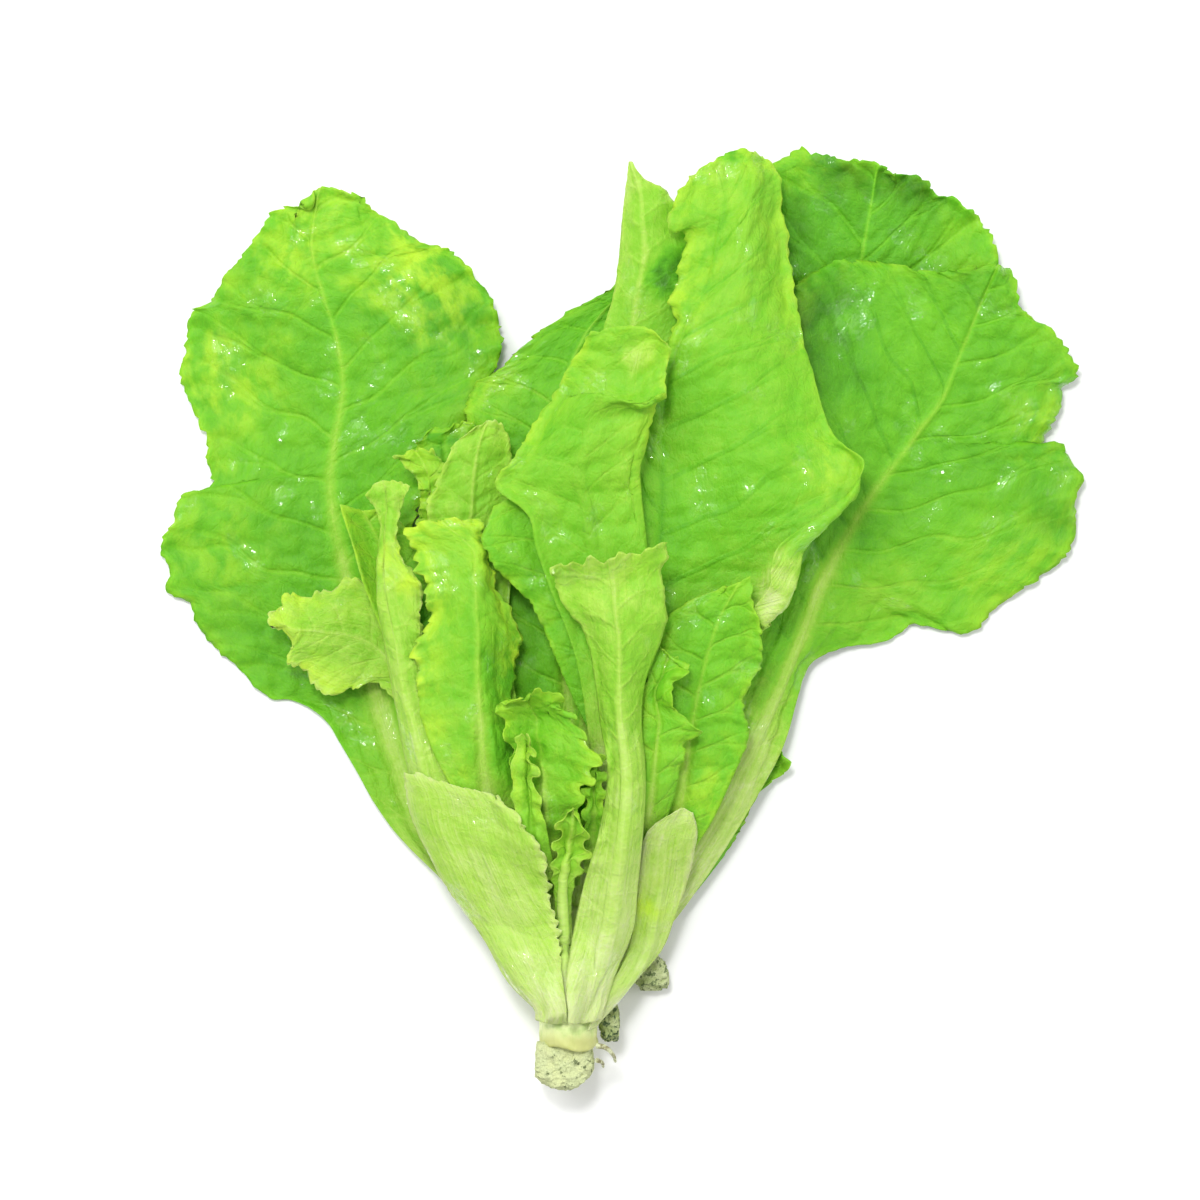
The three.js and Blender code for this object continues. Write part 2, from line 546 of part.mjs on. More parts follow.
function raiseRelief(relief, { top, bottom }, firstRow, lastRow) {
  for (const triangle of gridTriangles(top, firstRow, lastRow)) {
    for (const face of [top, bottom]) {
      relief.visit(triangle.map(([i, j]) => face[i][j]), (cell, low, high) => {
        relief.height[cell] = Math.max(relief.height[cell], high);
      });
    }
  }
}

// One closed body between the two faces, with a wall round the margin.
function slabGeometry({ top, bottom }, foot) {
  const rows = top.length;
  const columns = top[0].length;
  const position = [...top.flat(), ...bottom.flat()].flatMap((p) => [p.x - foot.x, p.y - foot.y, p.z - foot.z]);
  const up = (i, j) => i * columns + j;
  const down = (i, j) => rows * columns + i * columns + j;
  const index = [];
  for (const [p, q, r] of gridTriangles(top)) {
    index.push(up(...p), up(...q), up(...r), down(...p), down(...r), down(...q));
  }
  const wall = (p, q) => index.push(up(...p), down(...q), up(...q), up(...p), down(...p), down(...q));
  for (let i = 0; i < rows - 1; i++) {
    wall([i + 1, 0], [i, 0]);
    wall([i, columns - 1], [i + 1, columns - 1]);
  }
  for (let j = 0; j < columns - 1; j++) {
    wall([0, j], [0, j + 1]);
    wall([rows - 1, j + 1], [rows - 1, j]);
  }
  return new THREE.BufferGeometry()
    .setAttribute("position", new THREE.Float32BufferAttribute(position, 3))
    .setIndex(index);
}

function material(colour) {
  return new THREE.MeshStandardMaterial({ color: COLOURS[colour], roughness: 0.55, metalness: 0 });
}

function named(name, geometry, colour) {
  const mesh = new THREE.Mesh(geometry, material(colour));
  mesh.name = name;
  return mesh;
}

// Lays one leaf on what is there already and returns its mesh, standing at the leaf's foot.
function layLeaf(relief, leaf) {
  const faces = facesOf(leaf);
  const last = faces.top.length - 1;
  const turn = leaf.fold ? Math.round((last * leaf.fold) / (leaf.rows.length - 1)) : last;
  if (leaf.lying) pressOnTable(faces);
  layOn(relief, faces, 0, turn);
  raiseRelief(relief, faces, 0, turn - (turn < last ? 1 : 0));
  if (turn < last) {
    layOn(relief, faces, turn + 1, last);
    raiseRelief(relief, faces, turn, last);
  }
  const [footX, footY] = leaf.rows[0][1];
  const foot = new THREE.Vector3(footX, footY, 0);
  const mesh = named(leaf.name, slabGeometry(faces, foot), leaf.colour);
  mesh.position.copy(foot);
  return mesh;
}

// A turned body along Y: profile is [radius, distance back from the face nearest the leaves].
function turned(profile, segments) {
  const points = [[0, profile[0][1]], ...profile, [0, profile.at(-1)[1]]];
  const geometry = new THREE.LatheGeometry(points.map(([r, back]) => new THREE.Vector2(r, -back)).reverse(), segments);
  return geometry;
}

// The short stem that every leaf leaves, waisted where old leaves have been pulled off.
function crown() {
  const mesh = named("crown", turned([[9, 0], [9.6, 2], [8.2, 7], [7.8, 12], [8.4, CROWN_LENGTH]], 20), "crown");
  mesh.position.set(CROWN_AXIS.x, CROWN_TOP_Y, CROWN_AXIS.z);
  mesh.scale.z = CROWN_DEPTH;
  return mesh;
}

// A torn lump of the seedling plug: a coarse ball, squashed to size and left ragged by a fixed wobble.
function lump(name, size, centre, turn) {
  const geometry = new THREE.SphereGeometry(0.5, 12, 8);
  const points = geometry.attributes.position;
  for (let k = 0; k < points.count; k++) {
    const p = new THREE.Vector3().fromBufferAttribute(points, k);
    const wobble = 1 + 0.07 * Math.sin(9 * p.x + 3) * Math.cos(8 * p.y) + 0.06 * Math.sin(11 * p.z + 6 * p.x);
    const squared = p.multiplyScalar(wobble / Math.max(0.82, Math.cbrt(8 * (Math.abs(p.x) ** 3 + Math.abs(p.y) ** 3 + Math.abs(p.z) ** 3))));
    points.setXYZ(k, squared.x * size[0], squared.y * size[1], squared.z * size[2]);
  }
  const mesh = named(name, geometry, "plug");
  mesh.position.set(...centre);
  mesh.rotation.z = turn;
  return mesh;
}

// A root that was left on: a thin tube through the given points.
function root(name, points, radius) {
  const path = new THREE.CatmullRomCurve3(points.map((p) => new THREE.Vector3(...p)), false, "catmullrom");
  const section = new THREE.Shape().absarc(0, 0, radius, 0, 2 * Math.PI);
  const geometry = new THREE.ExtrudeGeometry(section, { steps: 10, curveSegments: 3, extrudePath: path });
  return named(name, geometry, "crown");
}

const relief = new Relief(RELIEF_HALF_WIDTH, RELIEF_CELL);
const head = new THREE.Group();
for (const leaf of LEAVES) head.add(layLeaf(relief, leaf));
head.add(crown());
head.add(lump("root_plug", [18.5, 14.6, 17], [-17.8, -132.2, 17.5], 0.12));
head.add(lump("plug_fragment_side", [5.6, 13, 8], [-4.6, -118.5, 15], 0.2));
head.add(lump("plug_fragment_upper", [11, 9, 7], [7.6, -105.2, 6.4], 0.75));
head.add(root("root_strand_long", [[-8, -125.4, 25], [-5.5, -125.9, 26.4], [-3.4, -128, 25], [-2.6, -130.4, 21]], 0.9));
head.add(root("root_strand_short", [[-8, -130, 22], [-6.6, -130.8, 20], [-6.2, -132.4, 16]], 0.8));

// The origin goes under the middle of the head.
const bounds = new THREE.Box3().setFromObject(head);
const middle = bounds.getCenter(new THREE.Vector3());
head.position.set(-middle.x, -middle.y, 0);

export default head;
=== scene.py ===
"""A head of leaf lettuce lying on its back: leaves, crown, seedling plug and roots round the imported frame."""

import bpy
import numpy as np
from bpy.props import FloatProperty, FloatVectorProperty, PointerProperty
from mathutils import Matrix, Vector


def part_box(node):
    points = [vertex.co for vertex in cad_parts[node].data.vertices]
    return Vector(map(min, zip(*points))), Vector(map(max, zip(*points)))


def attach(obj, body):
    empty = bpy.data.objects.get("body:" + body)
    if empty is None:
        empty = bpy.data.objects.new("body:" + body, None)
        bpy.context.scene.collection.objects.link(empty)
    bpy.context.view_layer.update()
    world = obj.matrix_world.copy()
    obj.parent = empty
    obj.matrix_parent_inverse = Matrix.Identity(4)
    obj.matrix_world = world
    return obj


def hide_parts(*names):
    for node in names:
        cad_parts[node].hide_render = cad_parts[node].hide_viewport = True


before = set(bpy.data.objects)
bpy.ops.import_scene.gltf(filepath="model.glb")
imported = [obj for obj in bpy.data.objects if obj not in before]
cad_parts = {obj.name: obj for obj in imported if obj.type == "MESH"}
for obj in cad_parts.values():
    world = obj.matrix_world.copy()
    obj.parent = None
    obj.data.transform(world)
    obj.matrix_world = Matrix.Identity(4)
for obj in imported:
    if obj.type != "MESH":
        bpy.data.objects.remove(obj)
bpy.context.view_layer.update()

bl_info = {
    "name": "Leaf Lettuce",
    "version": (1, 0, 0),
    "blender": (4, 5, 0),
    "location": "3D View > Sidebar > Lettuce",
    "description": "Builds a head of loose-leaf lettuce, leaf by leaf",
    "category": "Object",
}

MM = 0.001
CROWN_X, CROWN_Z = -16.5, 17.5  # the crown's axis, in the nets' own millimetres
CROWN_TOP_Y = -108.5  # the head end of the crown's solid
CROWN_FOOT, CROWN_HEAD = -126.5, -99  # where the crown meets the plug, and where the leaf feet hide it
# The nets below are in millimetres from a point that the crown's solid gives.
CROWN_LOW, CROWN_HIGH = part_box("crown")
ORIGIN = Vector(((CROWN_LOW.x + CROWN_HIGH.x) / 2 - CROWN_X * MM, CROWN_HIGH.y - CROWN_TOP_Y * MM, 0))
CELL = 1.0  # side of one cell of the relief map
HALF = 170  # half the relief map's side
THICKNESS_STEPS = 60  # how finely a leaf's thickness is graded
FLOOR_GAP = 0.12  # a leaf's least height above the table


# --- Sizes and colours a user may change -----------------------------------------------------------


def colour(name, description, value):
    return FloatVectorProperty(
        name=name, description=description, subtype="COLOR", size=3, min=0, max=1, default=value
    )


class LeafSizes(bpy.types.PropertyGroup):
    thickness: FloatProperty(
        name="Blade thickness", description="Thickness of the blade away from the ribs",
        default=0.00045, min=0.0002, max=0.002, unit="LENGTH", subtype="DISTANCE",
    )
    gap: FloatProperty(
        name="Gap", description="Clear height between a leaf and the one it lies on",
        default=0.00025, min=0, max=0.002, unit="LENGTH", subtype="DISTANCE",
    )
    ruffle: FloatProperty(
        name="Ruffle", description="Height of the waves along the margins, as a share of the usual",
        default=1, min=0, max=2, subtype="FACTOR",
    )
    blister: FloatProperty(
        name="Blister", description="Height of the bulges between the veins, as a share of the usual",
        default=1, min=0, max=2, subtype="FACTOR",
    )


class LeafColours(bpy.types.PropertyGroup):
    margin: colour("Margin", "Young frilled margins", (0.44, 0.68, 0.034))
    crown: colour("Crown", "The short stem that the leaves leave", (0.80, 0.90, 0.42))
    plug: colour("Plug", "Remains of the seedling plug", (0.56, 0.62, 0.33))


# --- The leaves, from the table up -----------------------------------------------------------------
# A leaf is a net of rows from its foot to its tip. Each row holds points from the left margin to the right
# one, in millimetres: x, y and the least height. A broad leaf has lines from foot to tip instead.
# - tone and yellow: its place on the scale of greens, and how yellow its margin is
# - pale: the length and tone of its pale foot
# - rib: half width and height of the midrib at its foot
# - ruffle: height, wavelength and reach inwards; bare: the share of its length that has no ruffles
# - pitch: the distance from one side vein to the next
# - the washes: patches of colour, some of them painted shade and painted light, each with its x, y, radius, how
#   much lighter it is, and how much yellower

# The scale of greens, from the painted shade of deep gaps at 0 to the palest rib at 1, as they look in
# daylight.
TONE_STEPS = (
    (0.0, (38, 92, 16)), (0.2, (74, 146, 22)), (0.4, (104, 192, 34)), (0.55, (128, 214, 42)),
    (0.7, (158, 226, 60)), (0.8, (190, 239, 92)), (0.9, (216, 250, 132)), (1.0, (238, 255, 176)),
)
SKIN_SHARE = 0.66  # the skin's own colour, as a share of the light that it seems to send back


def skin_colour(rgb):
    """The linear colour of the skin for one that is given as it looks, from 0 to 255."""
    return tuple(round(SKIN_SHARE * ((level / 255 + 0.055) / 1.055) ** 2.4, 3) for level in rgb)


TONES = tuple((place, skin_colour(rgb)) for place, rgb in TONE_STEPS)

# What a leaf has unless its own entry says otherwise.
USUAL_LEAF = dict(
    back=False,  # its back faces up
    clasps=False,  # its foot lies on the crown
    spacing=1.1,  # between the points of its sheet
    rib_column=None,  # the net's column that the midrib runs along: the middle one
    rib_pale=0.85,  # how pale the midrib is: a negative number makes it a thin dark line
    ridges=0.12,  # height of the ridges along the stem, as a share of the midrib's
    channel=0.35,  # depth of the midrib's channel, likewise
    veins=(1, 1),  # depth of the side veins, left and right: a negative number only darkens them
    blister=1,  # its bulges, as a share of the usual
    teeth=1,  # its teeth and lobes, likewise
    frill=(1, 1, 1),  # its ruffles on the left, on the right and at the tip, likewise
    fine=0.4,  # small waves on the ruffle
    curl=(0, 0),  # how far the margin stands up, and how far it winds
    easing=6,  # grid steps over which the leaf rises before it crosses another
    tint_and_shade_washes=(),
)


LEAVES = {
    "outer_left_leaf": dict(
        slot="outer_leaf", group="outer", seed=1, tone=0.48, rib=(8, 2.4), ruffle=(1.6, 18, 8), bare=0.33,
        pitch=15, yellow=0.3, pale=(130, 0.84), blister=0.85, teeth=1.25, spacing=1.05, rib_pale=1,
        tint_and_shade_washes=[
            (-120, 72, 16, 0.06, 0.5), (-88, 120, 16, 0.14, 0.35), (-60, 100, 16, 0, 0.5),
            (-52, 90, 14, -0.12, 0.1), (-62, 112, 8, 0.1, 0.4), (-73, -30, 10, 0.12, 0),
            (-100, 104, 12, 0.05, 0.3), (-118, 20, 14, 0.03, 0.3),
        ],
        lines=[
            [(-28, -105, 9), (-40, -95.5, 7), (-50, -82, 6), (-66, -66, 5), (-75, -54, 4), (-80, -45, 4),
             (-86, -35, 3), (-90, -29, 3, 1), (-98, -24, 2), (-104, -24, 2), (-110, -20.5, 2),
             (-116, -14, 2), (-123, -8, 2), (-129, 0, 2), (-131, 5, 3), (-136.5, 9, 3), (-136, 15, 3),
             (-138.8, 22.5, 4), (-134, 30, 5), (-132, 37.5, 5, 1), (-124, 38.5, 3), (-124.5, 45, 3),
             (-127, 48, 3), (-125, 50.5, 3), (-126.5, 58, 3), (-130, 66, 3), (-132.5, 72, 3), (-130, 85, 4),
             (-128, 93, 5), (-123, 95.5, 6), (-120, 101, 7), (-114, 109, 8), (-108.5, 116, 9),
             (-108, 120, 10), (-101, 123.5, 11), (-94.5, 122, 12)],
            [(-22, -108, 8), (-45, -83, 7), (-60, -63, 5), (-68, -42, 4), (-73.5, -25, 3, 1), (-79, -2, 3),
             (-84, 15, 3), (-87, 31, 4), (-88, 43, 4, 1), (-86, 57, 5), (-84, 70, 6), (-86, 85, 8),
             (-90, 98, 9), (-93, 112, 10), (-91, 127, 11.5)],
            [(-15, -107, 9), (-34, -84, 9), (-50, -60, 9), (-56, -38, 10), (-60, -18, 10, 1), (-62, 2, 10),
             (-62, 20, 10), (-60, 34, 11), (-57, 44, 11, 1), (-48, 60, 11), (-41, 72, 9), (-37.5, 80.5, 8),
             (-38, 87, 7), (-41, 96, 6), (-46, 105, 6), (-52, 111, 6), (-60, 112.5, 7), (-65, 116.5, 8),
             (-70, 120, 9), (-75, 123, 10), (-78, 126.5, 11)],
        ],
    ),
    "back_right_leaf": dict(
        slot="outer_leaf", group="outer", seed=2, tone=0.42, rib=(5, 1.2), ruffle=(1.8, 16, 8), bare=0.4,
        pitch=16, yellow=0.2, pale=(60, 0.9), blister=0.85, teeth=1.25, spacing=1.05, frill=(1, 1, 1),
        tint_and_shade_washes=[
            (62, 137, 8, -0.2, 0), (90, 130, 8, -0.22, 0), (50, 118, 10, -0.1, 0),
            (104, 110, 14, 0.14, 0.1), (52, 134, 7, 0.12, 0.2), (76, 132, 6, -0.12, 0),
        ],
        lines=[
            [(-19, -106, 5), (8, -72, 4), (22, -42, 4), (30, -5, 5), (36, 40, 6), (38, 75, 6), (40, 100, 8),
             (40, 118, 9), (42, 130, 10), (44, 135, 11), (48, 137.5, 11), (52, 140.5, 12)],
            [(-12, -107.5, 4), (15, -74, 3), (31, -44, 3), (44, -4, 3), (56, 36, 3), (64, 72, 4),
             (69, 96, 5), (72, 114, 7), (74, 126, 9), (75, 134.5, 12)],
            [(-6, -106, 5), (22, -72, 4), (40, -40, 4), (60, 0, 4), (82, 34, 3), (104, 66, 3), (113, 92, 5),
             (112, 106, 6), (109, 115, 7), (104, 121, 8), (99, 125.5, 9), (93, 126.5, 9), (92, 130, 10),
             (84, 133.5, 11), (78, 133.5, 12)],
        ],
    ),
    "back_side_leaf": dict(
        slot="inner_leaf", group="outer", seed=3, tone=0.5, rib=(3, 1), ruffle=(1.2, 9, 5), bare=0.3,
        pitch=9, yellow=0.3, pale=(30, 0.9),
        rows=[
            [(0, -98, 3), (5, -99, 3), (9, -96, 3)], [(14, -80, 3), (20, -81, 2.5), (25, -77, 3)],
            [(24, -64, 3), (30, -65, 2.5), (36, -61, 3)], [(31, -52, 3), (36, -53, 3), (41, -51, 4)],
            [(38, -42, 4), (42, -43, 4), (47, -45.5, 6)], [(41, -38, 5), (44.5, -38.5, 5), (49, -42.5, 8)],
        ],
    ),
    "base_bract": dict(
        slot="inner_leaf", group="outer", seed=4, tone=0.75, rib=(2, 0.8), ruffle=(0.3, 6, 3), bare=0.5,
        pitch=8, yellow=0, pale=(8, 0.95), blister=0.2, teeth=0.2,
        rows=[
            [(-26, -118, 7), (-23, -119, 6), (-20, -118, 6)],
            [(-29, -112, 8), (-26, -112, 7), (-22, -111, 7)],
            [(-33.5, -107.5, 10), (-29, -107, 8), (-24, -107, 7)],
        ],
    ),
    "outer_right_leaf": dict(
        slot="outer_leaf", group="outer", seed=5, tone=0.5, rib=(7.5, 2.6), ruffle=(1.6, 17, 8), bare=0.4,
        pitch=13, yellow=0.25, pale=(150, 0.92), blister=0.85, teeth=1.25, spacing=1.05, rib_pale=0.8,
        veins=(-0.8, 0.9),
        # The fifth and sixth washes are painted light: they lighten the pale stem where the leaves beside it
        # shade it.
        tint_and_shade_washes=[
            (54, 78, 17, -0.22, 0), (54, 100, 12, -0.2, 0), (76, 8, 12, 0.12, 0.1), (120, 20, 14, 0, 0.2),
            (40, -38, 13, 0.22, 0), (32, -60, 13, 0.26, 0), (60, -8, 10, 0.06, 0), (71, 26, 6, -0.1, 0),
            (108, 100, 12, -0.08, 0), (126, 60, 10, -0.08, 0.3), (104, 50, 14, -0.06, 0),
            (130, 30, 8, -0.14, 0), (106, 10, 16, 0.06, 0.15), (88, 92, 14, 0.06, 0),
        ],
        lines=[
            [(-16, -106, 9), (4, -82, 13), (18, -60, 18), (28, -42, 20), (34, -22, 19), (40, -6, 16, 1),
             (44, 12, 14), (46, 32, 16), (47, 52, 17), (47, 70, 17, 1), (48, 84, 16), (50, 98, 14),
             (56, 104, 13), (60, 107, 12), (65, 107.5, 12), (73, 106, 11), (80, 106, 11), (88, 104, 11),
             (96, 103.5, 12), (105, 105.5, 12)],
            [(-9, -107.5, 10), (11, -84, 13), (26, -62, 16), (36, -42, 17), (45, -25, 15), (53, -6, 12, 1),
             (59, 10, 9), (65, 22, 9), (73, 36, 9), (82, 48, 9, 1), (90, 59, 10), (95, 66, 10),
             (99, 76, 10), (103, 86, 10), (107, 96, 11), (111, 105.5, 12)],
            [(-2, -105, 9), (13, -92, 9), (23, -79, 10), (31, -67, 11), (38, -55, 11), (46, -41, 10),
             (50, -30, 9), (52, -22, 8), (57, -11.5, 6, 1), (70, -7, 4), (79, -7, 3), (82.5, -3, 3),
             (83, 0, 3), (90, -2, 3), (103, -4, 3), (106, -2, 3), (115, 6, 3), (125, 13, 4), (132.5, 20, 4),
             (136, 26, 4), (135.5, 33, 5), (137, 43, 6, 1), (133.5, 47, 6), (131, 51, 6), (128, 52, 6),
             (123.5, 49.5, 5), (125, 54, 5), (129, 64, 5), (129.5, 70, 6), (134, 71.5, 6), (134, 77, 7),
             (128, 86.5, 9), (123, 90, 9), (117, 93, 9), (116, 98, 10), (115, 105, 11)],
        ],
    ),
    "centre_back_leaf": dict(
        slot="outer_leaf", group="middle", seed=6, tone=0.52, rib=(4, 1), ruffle=(1.2, 12, 5), bare=0.5,
        pitch=12, yellow=0.35, pale=(60, 0.9), blister=0.8, frill=(1, 0.2, 1),
        tint_and_shade_washes=[(-20, 84, 14, -0.06, 0), (-38, 70, 8, 0.1, 0.2)],
        rows=[
            [(-22, -104, 11), (-17, -105.5, 10), (-12, -104, 11)],
            [(-33, -55, 14), (-16, -56, 13), (-4, -55, 14)], [(-42, -10, 16), (-17, -12, 15), (2, -10, 16)],
            [(-45, 30, 17), (-17, 28, 16), (8, 28, 16)], [(-47, 55, 15), (-18, 52, 17), (12, 54, 16)],
            [(-46.5, 68, 13), (-17, 71, 18), (16, 74, 17)], [(-38, 74, 14), (-12, 84, 19), (20, 88, 17)],
            [(-27, 84, 15), (-6, 92, 19), (21, 98, 17)], [(-16, 91.5, 16), (0, 98, 19), (20, 106, 17)],
            [(-5, 97.5, 17), (6, 105, 18), (18, 112, 17)],
        ],
    ),
    "left_frill_leaf": dict(
        slot="frill_leaf", group="middle", seed=7, tone=0.76, rib=(2.5, 0.8), ruffle=(1.3, 12, 3.5),
        bare=0.5, pitch=9, yellow=0.9, pale=(40, 0.9), blister=0.5, spacing=0.8, easing=4, veins=(0.4, 0.4),
        fine=0.3, curl=(0.3, 1.6), frill=(1, 0.8, 1), teeth=1.4,
        lines=[
            [(-28, -96, 12), (-54, -60, 12), (-62, -40, 11), (-68, -24, 11, 1), (-73, -18.5, 11),
             (-80, -19.5, 11), (-83, -21.5, 11), (-89, -20, 11), (-95, -16, 12), (-97, -12, 13),
             (-100, -11.5, 14), (-97.5, -7, 14), (-100.5, -4, 15), (-103, -2, 16)],
            [(-25, -97, 12), (-50, -61, 12), (-58, -40, 12), (-63, -24, 12, 1), (-72, -10, 12),
             (-80, -5, 13), (-90, -3, 15), (-98, -2, 17), (-103.5, 1, 17)],
            [(-22, -96, 12), (-46, -59, 12), (-53, -40, 12), (-57, -22, 12, 1), (-66, 6, 13),
             (-77, 11.5, 13), (-85, 11, 13), (-90, 9.5, 13), (-94, 7, 14), (-98, 8, 15), (-101.5, 7, 16),
             (-103.5, 4, 17)],
        ],
    ),
    "olive_back_leaf": dict(
        slot="outer_leaf", group="middle", seed=8, tone=0.4, rib=(2.5, 0.6), ruffle=(1.6, 9, 5), bare=0.5,
        pitch=9, yellow=0.5, pale=(40, 0.9), spacing=0.9,
        rows=[
            [(-42, -56, 13), (-39, -57, 13), (-35, -56, 13)],
            [(-47, -25, 14), (-43, -26, 14), (-39, -25, 14)], [(-54, 20, 15), (-49, 20, 14), (-43, 20, 15)],
            [(-60, 42, 16), (-52, 43, 15), (-43, 44, 15)], [(-61, 52, 17), (-53, 54, 17), (-43, 56, 16)],
            [(-58, 55, 18), (-51, 57.5, 18), (-44.5, 59.5, 17)],
        ],
    ),
    "spike_leaf": dict(
        slot="inner_leaf", group="middle", back=True, seed=9, tone=0.7, rib=(2.5, 1.4), ruffle=(1, 9, 3),
        bare=0.6, pitch=11, yellow=0.1, pale=(50, 0.9), frill=(0, 0.5, 0.2), blister=0.3, veins=(0.4, 0.4),
        # The first two washes are painted shade: the dark slit of a gap beside the leaf's right edge.
        tint_and_shade_washes=[(16, 106, 5, -0.45, 0), (11, 101, 4, -0.4, 0), (3, 130, 6, 0.08, 0), (14, 90, 8, -0.08, 0)],
        rows=[
            [(-15, -70, 14), (-11, -71, 14), (-7, -70, 14)], [(-14, -40, 17), (-8, -40, 17), (-2, -40, 17)],
            [(-10, 20, 20), (-3, 20, 20), (6, 20, 20)], [(-8, 60, 21), (-1, 60, 22), (9, 60, 22)],
            [(-6.5, 84, 22), (2, 84, 23), (16, 83, 22)], [(-3, 96, 22), (4, 96, 25), (22, 95, 21)],
            [(-1.5, 108, 22), (6, 108, 27), (21, 107, 22)],
            [(-0.5, 118, 23), (5.5, 117, 28), (17.5, 117, 24)],
            [(0.3, 126, 24), (5, 125, 28), (12.5, 126, 26)], [(1, 131, 26), (3.5, 131, 28), (6, 130.5, 27)],
            [(1.2, 135.5, 27), (1.8, 135.8, 27.5), (2.4, 135.3, 27.5)],
        ],
    ),
    "left_side_leaf": dict(
        slot="outer_leaf", group="middle", seed=10, tone=0.6, rib=(2.5, 1), ruffle=(1, 10, 4), bare=0.5,
        pitch=9, yellow=0.5, pale=(40, 0.9), frill=(0, 0, 0.3), blister=0.4,
        # The wash is painted shade near the right margin, where the leaf lies beneath its neighbours.
        tint_and_shade_washes=[(-55, 0, 9, -0.2, 0)],
        rows=[
            [(-49, -76, 13), (-43, -77, 13), (-35, -76, 13)],
            [(-57, -58, 16), (-50, -59, 16), (-41, -58, 16)],
            [(-66, -30, 20), (-58, -30, 19), (-46, -30, 18)], [(-70, -9, 22), (-62, -8, 20), (-49, -8, 19)],
            [(-76.5, 10, 24), (-68, 10, 20), (-51, 10, 19)], [(-80, 22, 25), (-72, 22, 20), (-60, 22, 19)],
            [(-83.5, 34, 26), (-77, 32.5, 22), (-70, 33, 20)],
        ],
    ),
    "curled_tip_leaf": dict(
        slot="inner_leaf", group="middle", seed=11, tone=0.66, rib=(2.2, 0.8), ruffle=(1.8, 9, 5), bare=0.5,
        pitch=9, yellow=0.6, pale=(40, 0.9), blister=0.5, spacing=0.8,
        rows=[
            [(-44, -50, 16), (-41, -51, 16), (-38, -50, 16)],
            [(-49, -25, 18), (-45, -26, 18), (-42, -25, 18)], [(-59, 15, 19), (-55, 15, 19), (-52, 15, 20)],
            [(-61, 32, 20), (-58, 32, 20), (-55.5, 32, 21)], [(-62, 41, 21), (-58, 41, 21), (-54, 42, 22)],
            [(-65, 45.5, 22), (-59.5, 46.5, 22), (-53, 46, 22)],
            [(-68.5, 48.5, 24), (-62, 50.5, 23), (-57, 49.8, 22)],
        ],
    ),
    "tall_centre_leaf": dict(
        slot="inner_leaf", group="middle", seed=12, tone=0.6, rib=(3.5, 1.2), ruffle=(1.3, 14, 5),
        bare=0.55, pitch=15, yellow=0.5, pale=(50, 0.9), frill=(1, 0.5, 0.6), rib_column=1, blister=0.9,
        veins=(-0.7, -0.8), rib_pale=-0.16, teeth=1.2,
        # The fourth wash is painted shade beside the spike leaf, and the sixth is painted shade where the front
        # leaf overlies the left half.
        tint_and_shade_washes=[
            (28, 125, 20, 0.08, 0.1), (25, 60, 20, -0.04, 0), (60, 46, 9, 0.05, 0.5),
            (14, 110, 6, -0.15, 0), (32, 139, 3, -0.4, 0), (14, 30, 12, -0.06, 0), (44, 36, 12, -0.04, 0),
            (46, 14, 7, 0.25, 0.1), (42, 3, 6, 0.28, 0.1), (20, 95, 10, 0.02, 0.3), (40, 90, 14, 0.05, 0),
        ],
        rows=[
            [(-18, -84, 14), (-12, -85, 14), (-8, -85, 14), (-5, -84, 14), (-4, -84, 14)],
            [(-15, -60, 20), (-7, -61, 19), (-2, -61, 19), (2, -60, 20), (3, -60, 20)],
            [(-6, -25, 25), (3, -26, 23), (10, -26, 23), (18, -24, 24), (19, -24, 24)],
            [(0, -6, 27), (8, -6, 25), (24, -6, 25), (38, -4, 28), (38.5, -3, 29)],
            [(0, 2, 27), (9, 2, 25), (26, 2, 25), (41, 0.5, 30), (37.5, 3, 34)],
            [(1, 10, 28), (10, 9, 25), (28, 8, 25), (46.5, 6, 32), (42.5, 10, 37)],
            [(2, 18, 28), (11, 16, 25), (30, 14, 26), (50.5, 15.5, 33), (43, 16, 38)],
            [(2, 24, 28), (11, 21, 26), (33, 19, 27), (52, 21, 33), (45.5, 22.5, 38)],
            [(2.5, 30, 28), (11.5, 26, 26), (35, 25, 28), (56.5, 27, 33), (55, 29.5, 35)],
            [(3, 38, 28), (12, 34, 27), (37, 33, 29), (62, 34, 33), (65.5, 37.5, 34)],
            [(4, 48, 28), (12, 43, 27), (38, 43, 30), (64, 43, 33), (70.5, 46.5, 34)],
            [(5, 55, 28), (12, 50, 27), (38, 50, 31), (59, 52, 31), (65, 51.5, 32)],
            [(6, 60, 28), (12, 57, 28), (38, 57, 31), (58, 57, 28), (60.5, 57.5, 27)],
            [(10, 76, 28), (14, 74, 30), (34, 75, 33), (53, 76, 26), (54.5, 76, 24)],
            [(15, 88, 28), (19, 88, 31), (34, 88, 33), (50.5, 87, 24), (51.8, 87, 22)],
            [(14, 95, 28), (23, 95, 31), (36, 98, 33), (49, 98, 23), (50, 98, 21)],
            [(17.5, 103, 28), (27, 105, 31), (37, 108, 33), (47.5, 110, 23), (48.7, 110, 21)],
            [(18.5, 113, 29), (28, 114, 31), (37, 118, 33), (46, 120, 23), (47.2, 120, 21)],
            [(12.5, 116, 33), (30, 120, 31), (38, 124, 32), (45.5, 127, 23), (46.7, 127, 21)],
            [(14, 123, 32), (30, 128, 30), (38, 132, 30), (43.5, 134, 23), (44.7, 134.5, 21)],
            [(19, 131, 30), (28, 136, 29), (34, 139, 28), (40, 138, 23), (41.5, 138, 22)],
        ],
    ),
    "inner_left_leaf": dict(
        slot="inner_leaf", group="middle", seed=13, tone=0.7, rib=(3, 1), ruffle=(1.5, 10, 4), bare=0.55,
